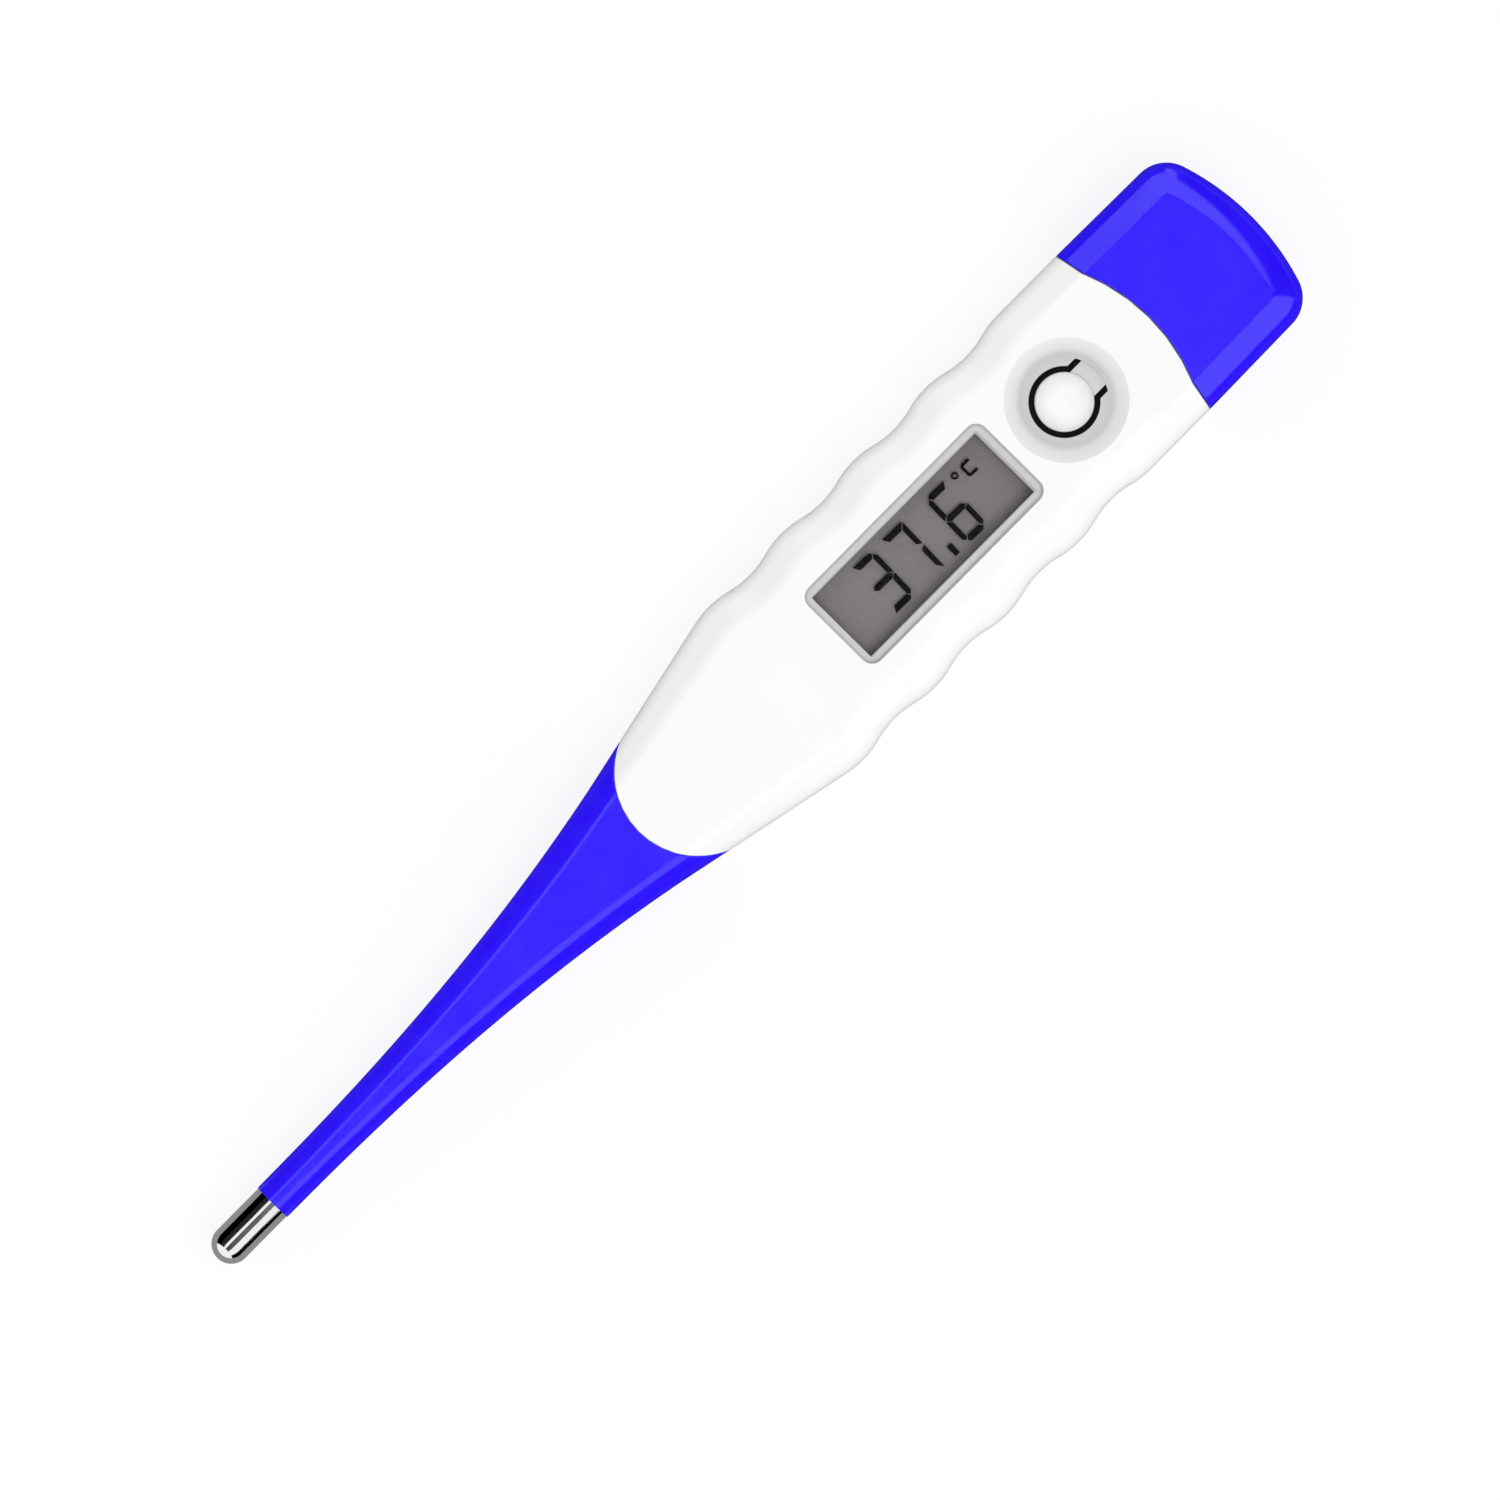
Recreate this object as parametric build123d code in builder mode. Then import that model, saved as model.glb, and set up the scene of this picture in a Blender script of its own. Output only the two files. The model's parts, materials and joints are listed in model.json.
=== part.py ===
from build123d import *
import os
from math import atan, cos, degrees, radians, sin, sqrt, tan

# Digital thermometer with a flexible stem, in millimetres, +Z up.
#
# It lies on its back: the display faces +Z, the steel tip points to -X and the battery cover to +X.
# The origin is under the middle of its length.  A station is a distance from the end of the steel tip,
# and at() turns it into X.  An inset is a distance inwards from the outer skin.

# ---- Overall form -----------------------------------------------------------------------------------
stem_length = 54.2  # end of the tip to the nose of the housing
seat_setback = 0.4  # the rubber's flare ends this far ahead of the nose
housing_length = 65.2  # nose to the crown of the parting with the cover
height = 11.0
half_width = 9.8
housing_wall = 1.3
cover_wall = 1.5
running_gap = 0.05  # between pieces that are fitted together
parting_gap = 0.1  # between housing and cover

# ---- Skin: taper, finger grips, shoulders and rounded end -------------------------------------------
taper_angle = 12.0
crest_setback = 18.8  # nose to the first crest
grip_pitch = 9.25
grip_depth = 0.6
grip_count = 4
nose_half_height = 4.3
knee_radius = 60.0
end_radius = 24.0
end_draft = 0.2
end_corner = 3.4
bevel_width = 2.8
bevel_drop = 1.6
edge_radius = 1.5
join_setback = 14.8  # nose to the section where the straight nose meets the gripped body

# ---- Stem -------------------------------------------------------------------------------------------
tip_radius = 1.8
tip_exposed = 7.2
tip_wall = 0.2
tip_step = 0.09  # the rubber stands this much above the steel
width_power = 2.3  # how late the stem flares in width, and in height
height_power = 1.8
root_flat = 0.68  # flat share of the face at the root and at the tip
tip_flat = 0.30
root_drop = 1.25
root_crease = 0.25
stem_rounding = 1.3
tip_drop = 0.55  # depth of the shoulders at the tip, as a share of half the height
stem_steps = 6
nose_radius = 7.6  # the round end of the white nose, seen from above
butt_setback = 5.0  # nose to the square butt where the rubber ends on each side
root_reach = 9.8  # how far the stem's root runs inside the housing
wire_bore = 0.9
ferrule_radius = 1.3
ferrule_wall = 0.4
ferrule_length = 7.0
ferrule_setback = 4.2
collar_radius = 2.6
collar_bore = 1.1
collar_length = 6.5
collar_flange = 1.6
key_rib = 1.0
rib_bore = 2.2
lip_height = 0.6

# ---- Sensor -----------------------------------------------------------------------------------------
bead_radius = 0.55
bead_length = 1.5
bead_station = 2.5
wire_radius = 0.2
wire_pitch = 0.7
wire_pad = 1.6  # length soldered to the board
wire_bend = 1.2

# ---- Display and window -----------------------------------------------------------------------------
window_from_key = 17.96  # middle of the window to the middle of the key
window_length = 22.6
window_width = 9.2
window_corner = 1.15
window_thickness = 0.8
gasket_thickness = 0.15
rim_front = 0.7  # printed rim of the window: towards the tip, towards the cover, at the sides
rim_back = 1.0
rim_side = 0.85
window_shelf = 0.75
glass_side_gap = 0.55
glass_thickness = 0.55
polarizer_thickness = 0.2
polarizer_margin = 0.7
ledge_width = 1.6
zebra_width = 1.2
zebra_length = 21.0
zebra_height = 1.95
bracket_wall = 0.6
bracket_lip = 0.5

# ---- Key --------------------------------------------------------------------------------------------
key_from_crown = 10.74  # middle of the key to the crown of the parting
key_radius = 2.7
key_gap = 0.5
key_arm = 3.06  # width of the hinged arm
key_reach = 3.74  # middle of the key to the root of the arm
key_arm_thickness = 0.7
key_plate = 1.0
key_dome = 0.5
dish_radius = 5.67
dish_floor = 3.9
dish_depth = 0.5
dish_shift = 0.24
skin_under_dish = 1.1
dish_boss = 0.6
membrane_radius = 4.4
membrane_thickness = 0.5
plunger_radius = 1.6
pill_radius = 1.5
pill_height = 0.45
pill_travel = 0.5

# ---- Board and what it carries ----------------------------------------------------------------------
board_thickness = 0.8
board_side_gap = 1.55
board_setback = 13.3  # nose to the front of the board
board_end_gap = 4.8  # board to the crown of the parting
board_corner = 1.0
chip_radius = 2.9
chip_height = 0.7
chip_shift = -3.0
post_radius = 1.15
post_inset = 2.2  # post to the end of the board
post_side_inset = 1.45
pin_radius = 0.6
pin_length = 1.5
smd_setback = 7.6
smd_pitch_x = 2.6
smd_pitch_y = 5.0
smd_length = 1.6
smd_width = 0.8
smd_height = 0.45

# ---- Sounder ----------------------------------------------------------------------------------------
sounder_from_window = 7.5
disc_radius = 5.0
disc_thickness = 0.2
ceramic_radius = 3.6
ceramic_thickness = 0.25
sounder_seat = 0.5
sounder_ring = 0.8
sounder_rim = 0.4
spring_thickness = 0.15
spring_width = 1.0
spring_foot = 1.2
spring_reach = 3.4

# ---- Carrier, seal and battery ----------------------------------------------------------------------
battery_diameter = 7.9
battery_height = 3.6
battery_gap = 0.1
lid_radius = 3.2
lid_seal_width = 0.4
neck_gap = 0.1
neck_reach = 2.0  # crown of the parting to the end of the neck
collar_start = 4.2  # carrier's flange, measured back from the crown of the parting
collar_end = 2.2
seal_setback = 0.55
seal_width = 1.0
seal_depth = 0.9
seal_gap = 0.03
pocket_setback = 0.25
tray_wall = 0.55
tray_floor = 0.7
tray_half_width = 4.9
tray_corner = 2.4
tray_end_gap = 0.7
contact_width = 3.0
contact_slot = 0.2
contact_pad = 4.0
contact_drop = 0.3  # the bend clears the end of the board by this much
contact_reach = 2.0
lid_height = 0.9
lid_rounding = 0.2
can_setback = 0.15
can_rounding = 0.3
seal_play = 0.02

# ---- Parting of the cover ---------------------------------------------------------------------------
parting_radius = 17.8
parting_half_chord = 7.0
parting_side_drop = 1.9  # crown to the straight end of the parting at each side

# ---- Sizes that follow ------------------------------------------------------------------------------
pocket_radius = battery_diameter / 2 + battery_gap
cover_length = neck_reach + pocket_setback + 2 * pocket_radius + tray_wall + tray_end_gap + cover_wall
length = stem_length + housing_length + cover_length
mid = height / 2
seat = stem_length - seat_setback
crown = stem_length + housing_length
crest = stem_length + crest_setback
join = stem_length + join_setback
grip_turn = 2 * degrees(atan(2 * grip_depth / grip_pitch))
grip_radius = grip_pitch / (4 * sin(radians(grip_turn)))
taper_end = crest - grip_radius * sin(radians(taper_angle))
taper_end_half = half_width - grip_radius * (1 - cos(radians(taper_angle)))
ceiling = height - housing_wall

key_station = crown - key_from_crown
window_station = key_station - window_from_key
dish_station = key_station + dish_shift
sounder_station = window_station - sounder_from_window
battery_station = crown + neck_reach + pocket_setback + pocket_radius
bead_end = bead_station + bead_length / 2

view_length = window_length - rim_front - rim_back
view_width = window_width - 2 * rim_side
view_station = window_station + (rim_front - rim_back) / 2
lens_bottom = height - window_thickness
shelf_top = lens_bottom - gasket_thickness
shelf_bottom = shelf_top - window_shelf
front_glass_top = shelf_bottom - polarizer_thickness
front_glass_bottom = front_glass_top - glass_thickness
rear_glass_bottom = front_glass_bottom - glass_thickness
rear_film_bottom = rear_glass_bottom - polarizer_thickness
board_top = front_glass_bottom - zebra_height
board_bottom = board_top - board_thickness
valley_half = half_width - grip_depth - housing_wall
bevel_back = bevel_width * (1 - (ceiling - front_glass_top) / bevel_drop)
glass_half = valley_half - bevel_back - glass_side_gap
glass_length = window_length + 2 * polarizer_margin
board_half = valley_half - board_side_gap
board_front = stem_length + board_setback
board_back = crown - board_end_gap

dish_bottom = height - dish_depth
skin_bottom = dish_bottom - skin_under_dish
pill_top = board_top + pill_travel + pill_height + running_gap
battery_bottom = mid - battery_height / 2
battery_top = mid + battery_height / 2
sounder_floor = housing_wall + sounder_seat


def at(station):
    """X of a station along the thermometer."""
    return station - length / 2


def taper_half(station):
    """Half the width on the straight taper behind the nose."""
    return taper_end_half - (taper_end - station) * tan(radians(taper_angle))


def nose_height(station):
    """Half the height between the nose and the first crest."""
    return nose_half_height + (mid - nose_half_height) * (station - stem_length) / crest_setback


# ---- Building blocks --------------------------------------------------------------------------------
def outline(inset=0.0):
    """Plan of housing and cover: taper, finger grips, straight sides and rounded end."""
    start = stem_length + butt_setback
    end_half = half_width - end_draft
    end_sag = end_radius - sqrt(end_radius**2 - end_half**2)
    half_sag = end_radius - sqrt(end_radius**2 - (end_half / 2) ** 2)
    with BuildSketch() as plan:
        with BuildLine():
            taper = Line((at(start), taper_half(start)), (at(taper_end), taper_end_half))
            grip = JernArc(taper @ 1, taper % 1, grip_radius, -(taper_angle + grip_turn))
            for number in range(1, grip_count + 1):
                valley = JernArc(grip @ 1, grip % 1, grip_radius, 2 * grip_turn)
                turn = grip_turn if number == grip_count else 2 * grip_turn
                grip = JernArc(valley @ 1, valley % 1, grip_radius, -turn)
            side = Line(grip @ 1, (at(crown - parting_side_drop), half_width))
            draft = Line(side @ 1, (at(length) - end_sag, end_half))
            ThreePointArc(draft @ 1, (at(length) - half_sag, end_half / 2), (at(length), 0))
            mirror(about=Plane.XZ)
            Line((at(start), taper_half(start)), (at(start), -taper_half(start)))
        make_face()
        if inset > 0:
            offset(amount=-inset, kind=Kind.INTERSECTION)
        fillet(plan.vertices().sort_by(Axis.X)[-2:], end_corner)
    return plan.sketch


def side_view(inset=0.0):
    """Side view of the housing, whose nose thickens up to a gentle knee at the first crest."""
    with BuildSketch(Plane.XZ) as view:
        with BuildLine():
            Polyline(
                (at(stem_length), mid + nose_half_height),
                (at(crest), height),
                (at(length) + end_radius, height),
                (at(length) + end_radius, 0),
                (at(crest), 0),
                (at(stem_length), mid - nose_half_height),
                close=True,
            )
        make_face()
        fillet(view.vertices().group_by(Axis.X)[1], knee_radius)
        if inset > 0:
            offset(amount=-inset, kind=Kind.INTERSECTION)
    return view.sketch


def section(station, half_w, half_h, bevel, drop, crease=0.0, edge=0.0):
    """Eight-sided section square to the length, with its corners rounded."""
    upper = (
        (bevel - half_w, mid + half_h),
        (half_w - bevel, mid + half_h),
        (half_w, mid + half_h - drop),
    )
    lower = (
        (half_w, mid - half_h + drop),
        (half_w - bevel, mid - half_h),
        (bevel - half_w, mid - half_h),
        (-half_w, mid - half_h + drop),
        (-half_w, mid + half_h - drop),
    )
    radii = (crease, crease, edge, edge, crease, crease, edge, edge)
    with BuildSketch(Plane.YZ.offset(at(station))) as shape:
        with BuildLine():
            FilletPolyline(*upper, *lower, radius=radii, close=True)
        make_face()
    return shape.sketch


def rim(face):
    """Edges round a flat face, without the straight cut across its front."""
    return [e for e in face.edges() if e.geom_type != GeomType.LINE or e.bounding_box().size.X > 1e-3]


def skin(inset=0.0):
    """Solid inside the outer skin, or inside a surface inset from it, from the stem's seat to the end."""
    with BuildPart() as body:
        with BuildSketch(Plane.XY.offset(inset)):
            add(outline(inset))
        extrude(amount=height - 2 * inset)
        extrude(side_view(inset), amount=2 * half_width, both=True, mode=Mode.INTERSECT)
        for end in (-1, 0):
            flat = body.faces().filter_by(Axis.Z).sort_by(Axis.Z)[end]
            chamfer(rim(flat)[:1], length=bevel_width, length2=bevel_drop, reference=flat)
        if inset == 0:
            for level in (height - bevel_drop, bevel_drop):
                level_edges = body.edges().filter_by_position(Axis.Z, level - 1e-3, level + 1e-3)
                fillet(level_edges.sort_by(Axis.X)[-1:], edge_radius)
        split(bisect_by=Plane.YZ.offset(at(join)))
    front = body.faces().sort_by(Axis.X)[0]
    root = section(
        seat,
        taper_half(seat) - inset / cos(radians(taper_angle)),
        nose_height(seat) - inset,
        (1 - root_flat) * taper_half(seat),
        root_drop,
        edge=stem_rounding if inset == 0 else 0.0,
    )
    with BuildPart() as whole:
        add(body.part)
        loft([root.face(), front], ruled=True)
    return whole.part


def slab(first, last):
    """Block across the whole thermometer between two stations."""
    with BuildPart() as block:
        with BuildSketch(Plane.YZ.offset(at(first))):
            with Locations((0, mid)):
                Rectangle(4 * half_width, 2 * height)
        extrude(amount=last - first)
    return block.part


def nose_plan(gap=0.0):
    """Plan of all that lies behind the round nose, square at the butt on each side."""
    with BuildSketch() as plan:
        with Locations((at(stem_length + nose_radius), 0)):
            Circle(nose_radius + gap)
        with Locations((at(stem_length + butt_setback - gap) + length / 2, 0)):
            Rectangle(length, 4 * half_width)
    return plan.sketch


def parting_plan(shift=0.0):
    """Plan of all that lies ahead of the parting between housing and cover."""
    tip_side = -length
    crown_x = at(crown) + shift
    chord_x = crown_x - parting_radius + sqrt(parting_radius**2 - parting_half_chord**2)
    side_x = crown_x - parting_side_drop
    with BuildSketch() as plan:
        with BuildLine():
            Polyline((tip_side, 2 * half_width), (side_x, 2 * half_width), (side_x, half_width))
            Line((side_x, half_width), (chord_x, parting_half_chord))
            ThreePointArc((chord_x, parting_half_chord), (crown_x, 0), (chord_x, -parting_half_chord))
            Line((chord_x, -parting_half_chord), (side_x, -half_width))
            Polyline((side_x, -half_width), (side_x, -2 * half_width), (tip_side, -2 * half_width))
            Line((tip_side, -2 * half_width), (tip_side, 2 * half_width))
        make_face()
    return plan.sketch


def rod(first, last, radius):
    """Round bar along the axis of the stem."""
    with BuildPart() as bar:
        with BuildSketch(Plane.YZ.offset(at(first))):
            with Locations((0, mid)):
                Circle(radius)
        extrude(amount=last - first)
    return bar.part


def plate(station, across, size_x, size_y, bottom, thickness, corner=0.0):
    """Flat rectangular plate, parallel to the face."""
    with BuildPart() as sheet:
        with BuildSketch(Plane.XY.offset(bottom)) as plan:
            with Locations((at(station), across)):
                Rectangle(size_x, size_y)
            if corner > 0:
                fillet(plan.vertices(), corner)
        extrude(amount=thickness)
    return sheet.part


def strip(points, thickness, width, across=0.0):
    """Bent sheet-metal strip: points are (station, Z) along the middle of its thickness."""
    with BuildPart() as sheet:
        with BuildSketch(Plane.XZ.offset(-across)):
            with BuildLine() as route:
                FilletPolyline(*[(at(station), level) for station, level in points], radius=2 * thickness)
            trace(route.line, line_width=thickness)
        extrude(amount=width / 2, both=True)
    return sheet.part


def post_places():
    """The four posts that hold the board, as plan positions."""
    reach = board_half - post_side_inset
    ends = (board_front + post_inset, board_back - post_inset)
    return [(at(end), side * reach) for end in ends for side in (-1, 1)]


def key_plan(extra=0.0):
    """Plan of the key and its arm, or of the hole that clears them by the extra."""
    with BuildSketch() as plan:
        with Locations((at(key_station), 0)):
            Circle(key_radius + extra)
        with Locations((at(key_station) + key_reach / 2, 0)):
            Rectangle(key_reach, key_arm + 2 * extra)
    return plan.sketch


stem_axis = Axis((0, 0, mid), (1, 0, 0))
outer = skin()
housing_hollow = skin(housing_wall)
housing_fit = skin(housing_wall + running_gap)
cover_hollow = skin(cover_wall)


# ---- Steel tip and what it holds --------------------------------------------------------------------
def cup(radius, end):
    """Round-ended cup profile about the stem's axis, from the tip to a station."""
    first = tip_radius - radius
    with BuildSketch(Plane.XZ) as profile:
        with BuildLine():
            Line((at(first), mid), (at(end), mid))
            Line((at(end), mid), (at(end), mid + radius))
            Line((at(end), mid + radius), (at(tip_radius), mid + radius))
            RadiusArc((at(tip_radius), mid + radius), (at(first), mid), -radius)
        make_face()
    return profile.sketch


with BuildPart() as steel_tip:
    revolve(cup(tip_radius, tip_exposed - running_gap), axis=stem_axis)
    revolve(cup(tip_radius - tip_wall, tip_exposed), axis=stem_axis, mode=Mode.SUBTRACT)
steel_tip.part.label = "steel_tip"

with BuildPart() as thermistor:
    with BuildSketch(Plane.XZ):
        with Locations((at(bead_station), mid)):
            SlotOverall(bead_length, 2 * bead_radius)
        with Locations((at(bead_station), mid - bead_radius)):
            Rectangle(bead_length, 2 * bead_radius, mode=Mode.SUBTRACT)
    revolve(axis=stem_axis)
thermistor.part.label = "thermistor"

with BuildPart() as thermal_potting:
    revolve(cup(tip_radius - tip_wall - running_gap, ferrule_setback - running_gap), axis=stem_axis)
    add(rod(bead_station - bead_length / 2, ferrule_setback, bead_radius + running_gap), mode=Mode.SUBTRACT)
thermal_potting.part.label = "thermal_potting"

with BuildPart() as tip_ferrule:
    ferrule_end = ferrule_setback + ferrule_length
    add(rod(ferrule_setback, tip_exposed - running_gap, tip_radius - tip_wall - running_gap))
    add(rod(ferrule_setback, ferrule_end, ferrule_radius))
    add(rod(ferrule_setback, ferrule_end, ferrule_radius - ferrule_wall), mode=Mode.SUBTRACT)
tip_ferrule.part.label = "tip_ferrule"


# ---- Flexible stem ----------------------------------------------------------------------------------
def stem_section(station):
    """Section of the rubber: round at the tip, flaring into the flat eight-sided root."""
    share = (station - tip_exposed) / (seat - tip_exposed)
    start = tip_radius + tip_step
    half_w = start + (taper_half(seat) - start) * share**width_power
    half_h = start + (nose_height(seat) - start) * share**height_power
    flat = tip_flat + (root_flat - tip_flat) * share
    root_share = root_drop / nose_height(seat)
    drop = half_h * (tip_drop + (root_share - tip_drop) * share)
    crease = stem_rounding + (root_crease - stem_rounding) * share
    return section(station, half_w, half_h, half_w * (1 - flat), drop, crease, stem_rounding)


with BuildPart() as stem_root:
    add(outer)
    split(bisect_by=Plane.YZ.offset(at(stem_length + butt_setback - running_gap)), keep=Keep.BOTTOM)
    extrude(nose_plan(running_gap), amount=height, mode=Mode.SUBTRACT)

with BuildPart() as stem_tongue:
    add(housing_fit)
    split(bisect_by=Plane.YZ.offset(at(stem_length + root_reach)), keep=Keep.BOTTOM)

with BuildPart() as flexible_stem:
    stations = [tip_exposed + (seat - tip_exposed) * step / stem_steps for step in range(stem_steps + 1)]
    loft([stem_section(station).face() for station in stations])
    add(stem_root.part)
    add(stem_tongue.part)
    root_end = stem_length + root_reach
    add(rod(tip_exposed, root_end, wire_bore), mode=Mode.SUBTRACT)
    add(rod(tip_exposed, ferrule_end + running_gap, ferrule_radius + running_gap), mode=Mode.SUBTRACT)
    collar_pocket = root_end - collar_length - running_gap
    add(rod(collar_pocket, root_end, collar_radius + running_gap), mode=Mode.SUBTRACT)
flexible_stem.part.label = "flexible_stem"

with BuildPart() as stem_collar:
    add(housing_fit)
    add(slab(root_end + running_gap, root_end + collar_flange), mode=Mode.INTERSECT)
    add(rod(root_end - collar_length, root_end + collar_flange, collar_radius))
    add(rod(root_end - collar_length, root_end + collar_flange, collar_bore), mode=Mode.SUBTRACT)
stem_collar.part.label = "stem_collar"

with BuildPart() as lead_wires:
    wire_level = board_top + wire_radius
    wire_turn = root_end + collar_flange
    for side in (-1, 1):
        with BuildLine(Plane.XZ.offset(-side * wire_pitch / 2)) as wire_route:
            FilletPolyline(
                (at(bead_end), mid),
                (at(wire_turn), mid),
                (at(board_front), wire_level),
                (at(board_front + wire_pad), wire_level),
                radius=wire_bend,
            )
        with BuildSketch(Plane(origin=wire_route.line @ 0, z_dir=wire_route.line % 0)):
            Circle(wire_radius)
        sweep(path=wire_route.line)
lead_wires.part.label = "lead_wires"


# ---- Housing ----------------------------------------------------------------------------------------
rib_start = root_end + collar_flange + running_gap
with BuildPart() as hollow:
    add(housing_hollow)
    add(slab(rib_start, rib_start + key_rib), mode=Mode.SUBTRACT)
    add(rod(rib_start - key_rib, rib_start + 2 * key_rib, rib_bore))


def half_shell(side):
    """Upper or lower half of the empty housing."""
    with BuildPart() as shell:
        add(outer)
        extrude(nose_plan(), amount=height, mode=Mode.INTERSECT)
        extrude(parting_plan(), amount=height, mode=Mode.INTERSECT)
        add(hollow.part, mode=Mode.SUBTRACT)
        split(bisect_by=Plane.XY.offset(mid), keep=side)
    return shell.part


def lip(inset, gap, tall):
    """Rim just above the parting, between the hollow and a line halfway through the wall."""
    with BuildPart() as band:
        with BuildSketch(Plane.XY.offset(mid)):
            add(outline(inset))
            add(outline(housing_wall), mode=Mode.SUBTRACT)
        extrude(amount=tall)
        lip_end = crown - collar_start
        add(slab(rib_start + key_rib + gap, lip_end - gap), mode=Mode.INTERSECT)
    return band.part


with BuildPart() as front_shell:
    add(half_shell(Keep.TOP))
    # Bosses inside: the window shelf, the thick skin under the key and the four sockets
    shelf_width = 2 * (glass_half - polarizer_margin)
    add(plate(window_station, 0, glass_length, shelf_width, shelf_bottom, housing_wall))
    with BuildSketch(Plane.XY.offset(skin_bottom)):
        with Locations((at(dish_station), 0)):
            Circle(dish_radius + dish_boss)
    extrude(amount=ceiling - skin_bottom)
    with BuildSketch(Plane.XY.offset(board_top)):
        with Locations(post_places()):
            Circle(post_radius)
    extrude(amount=ceiling - board_top)
    with BuildSketch(Plane.XY.offset(board_top)):
        with Locations(post_places()):
            Circle(pin_radius + running_gap)
    extrude(amount=pin_length, mode=Mode.SUBTRACT)
    # Window pocket and the opening over the display
    add(
        plate(window_station, 0, window_length, window_width, shelf_top, height, window_corner),
        mode=Mode.SUBTRACT,
    )
    add(plate(view_station, 0, view_length, view_width, mid, height), mode=Mode.SUBTRACT)
    # Dish round the key
    with BuildSketch(Plane.XZ):
        with BuildLine():
            dish_x = at(dish_station)
            dish_top = height + dish_depth
            floor = Line((dish_x, dish_bottom), (dish_x + dish_floor, dish_bottom))
            wall = TangentArc(floor @ 1, (dish_x + dish_radius, height), tangent=floor % 1)
            Polyline(wall @ 1, (dish_x + dish_radius, dish_top), (dish_x, dish_top), floor @ 0)
        make_face()
    revolve(axis=Axis((at(dish_station), 0, 0), (0, 0, 1)), mode=Mode.SUBTRACT)
    # Hole that clears the key and its arm
    with BuildSketch(Plane.XY.offset(mid)):
        add(key_plan(key_gap))
    extrude(amount=height, mode=Mode.SUBTRACT)
    add(lip(housing_wall / 2, 0, lip_height + running_gap), mode=Mode.SUBTRACT)
front_shell.part.label = "front_shell"

with BuildPart() as rear_shell:
    add(half_shell(Keep.BOTTOM))
    add(lip(housing_wall / 2 + running_gap, running_gap, lip_height))
    with BuildSketch(Plane.XY.offset(housing_wall / 2)):
        with Locations(post_places()):
            Circle(post_radius)
    extrude(amount=board_bottom - housing_wall / 2)
    with BuildSketch(Plane.XY.offset(board_bottom)):
        with Locations(post_places()):
            Circle(pin_radius)
    extrude(amount=pin_length - running_gap + board_thickness)
    with BuildSketch(Plane.XY.offset(housing_wall / 2)):
        with Locations((at(sounder_station), 0)):
            Circle(disc_radius + sounder_rim)
            Circle(disc_radius - sounder_ring, mode=Mode.SUBTRACT)
    extrude(amount=sounder_floor - housing_wall / 2)
rear_shell.part.label = "rear_shell"

# ---- Window and display -----------------------------------------------------------------------------
with BuildPart() as display_window:
    add(
        plate(
            window_station,
            0,
            window_length - 2 * running_gap,
            window_width - 2 * running_gap,
            lens_bottom,
            window_thickness,
            window_corner - running_gap,
        )
    )
display_window.part.label = "display_window"

with BuildPart() as window_gasket:
    add(
        plate(
            window_station,
            0,
            window_length - 2 * running_gap,
            window_width - 2 * running_gap,
            shelf_top,
            gasket_thickness,
            window_corner - running_gap,
        )
    )
    add(plate(view_station, 0, view_length, view_width, mid, height), mode=Mode.SUBTRACT)
window_gasket.part.label = "window_gasket"

with BuildPart() as front_polarizer:
    film_length = glass_length - 2 * polarizer_margin
    film_width = 2 * (glass_half - polarizer_margin)
    add(plate(window_station, 0, film_length, film_width, front_glass_top, polarizer_thickness))
front_polarizer.part.label = "front_polarizer"

with BuildPart() as lcd_front_glass:
    add(plate(window_station, 0, glass_length, 2 * glass_half, front_glass_bottom, glass_thickness))
lcd_front_glass.part.label = "lcd_front_glass"

rear_glass_width = 2 * glass_half - ledge_width
rear_glass_across = ledge_width / 2
with BuildPart() as lcd_rear_glass:
    add(
        plate(
            window_station,
            rear_glass_across,
            glass_length,
            rear_glass_width,
            rear_glass_bottom,
            glass_thickness,
        )
    )
lcd_rear_glass.part.label = "lcd_rear_glass"

with BuildPart() as rear_polarizer:
    add(
        plate(
            window_station,
            rear_glass_across,
            glass_length,
            rear_glass_width,
            rear_film_bottom,
            polarizer_thickness,
        )
    )
rear_polarizer.part.label = "rear_polarizer"

zebra_across = -glass_half + ledge_width / 2
with BuildPart() as zebra_connector:
    add(plate(window_station, zebra_across, zebra_length, zebra_width, board_top, zebra_height))
zebra_connector.part.label = "zebra_connector"

with BuildPart() as display_bracket:
    seat_length = glass_length + 2 * running_gap
    seat_width = 2 * (glass_half + running_gap)
    base_height = rear_film_bottom - board_top
    frame_length = seat_length + 2 * bracket_wall
    frame_width = seat_width + 2 * bracket_wall
    add(plate(window_station, 0, frame_length, frame_width, board_top, front_glass_bottom - board_top))
    add(plate(window_station, 0, seat_length, seat_width, rear_film_bottom, height), mode=Mode.SUBTRACT)
    opening_width = rear_glass_width - 2 * bracket_lip
    opening_length = glass_length - 4 * bracket_lip
    add(
        plate(window_station, rear_glass_across, opening_length, opening_width, board_top, base_height),
        mode=Mode.SUBTRACT,
    )
    slot_length = zebra_length + 2 * running_gap
    slot_width = zebra_width + 2 * running_gap
    add(
        plate(window_station, zebra_across, slot_length, slot_width, board_top, base_height),
        mode=Mode.SUBTRACT,
    )
display_bracket.part.label = "display_bracket"

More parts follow.
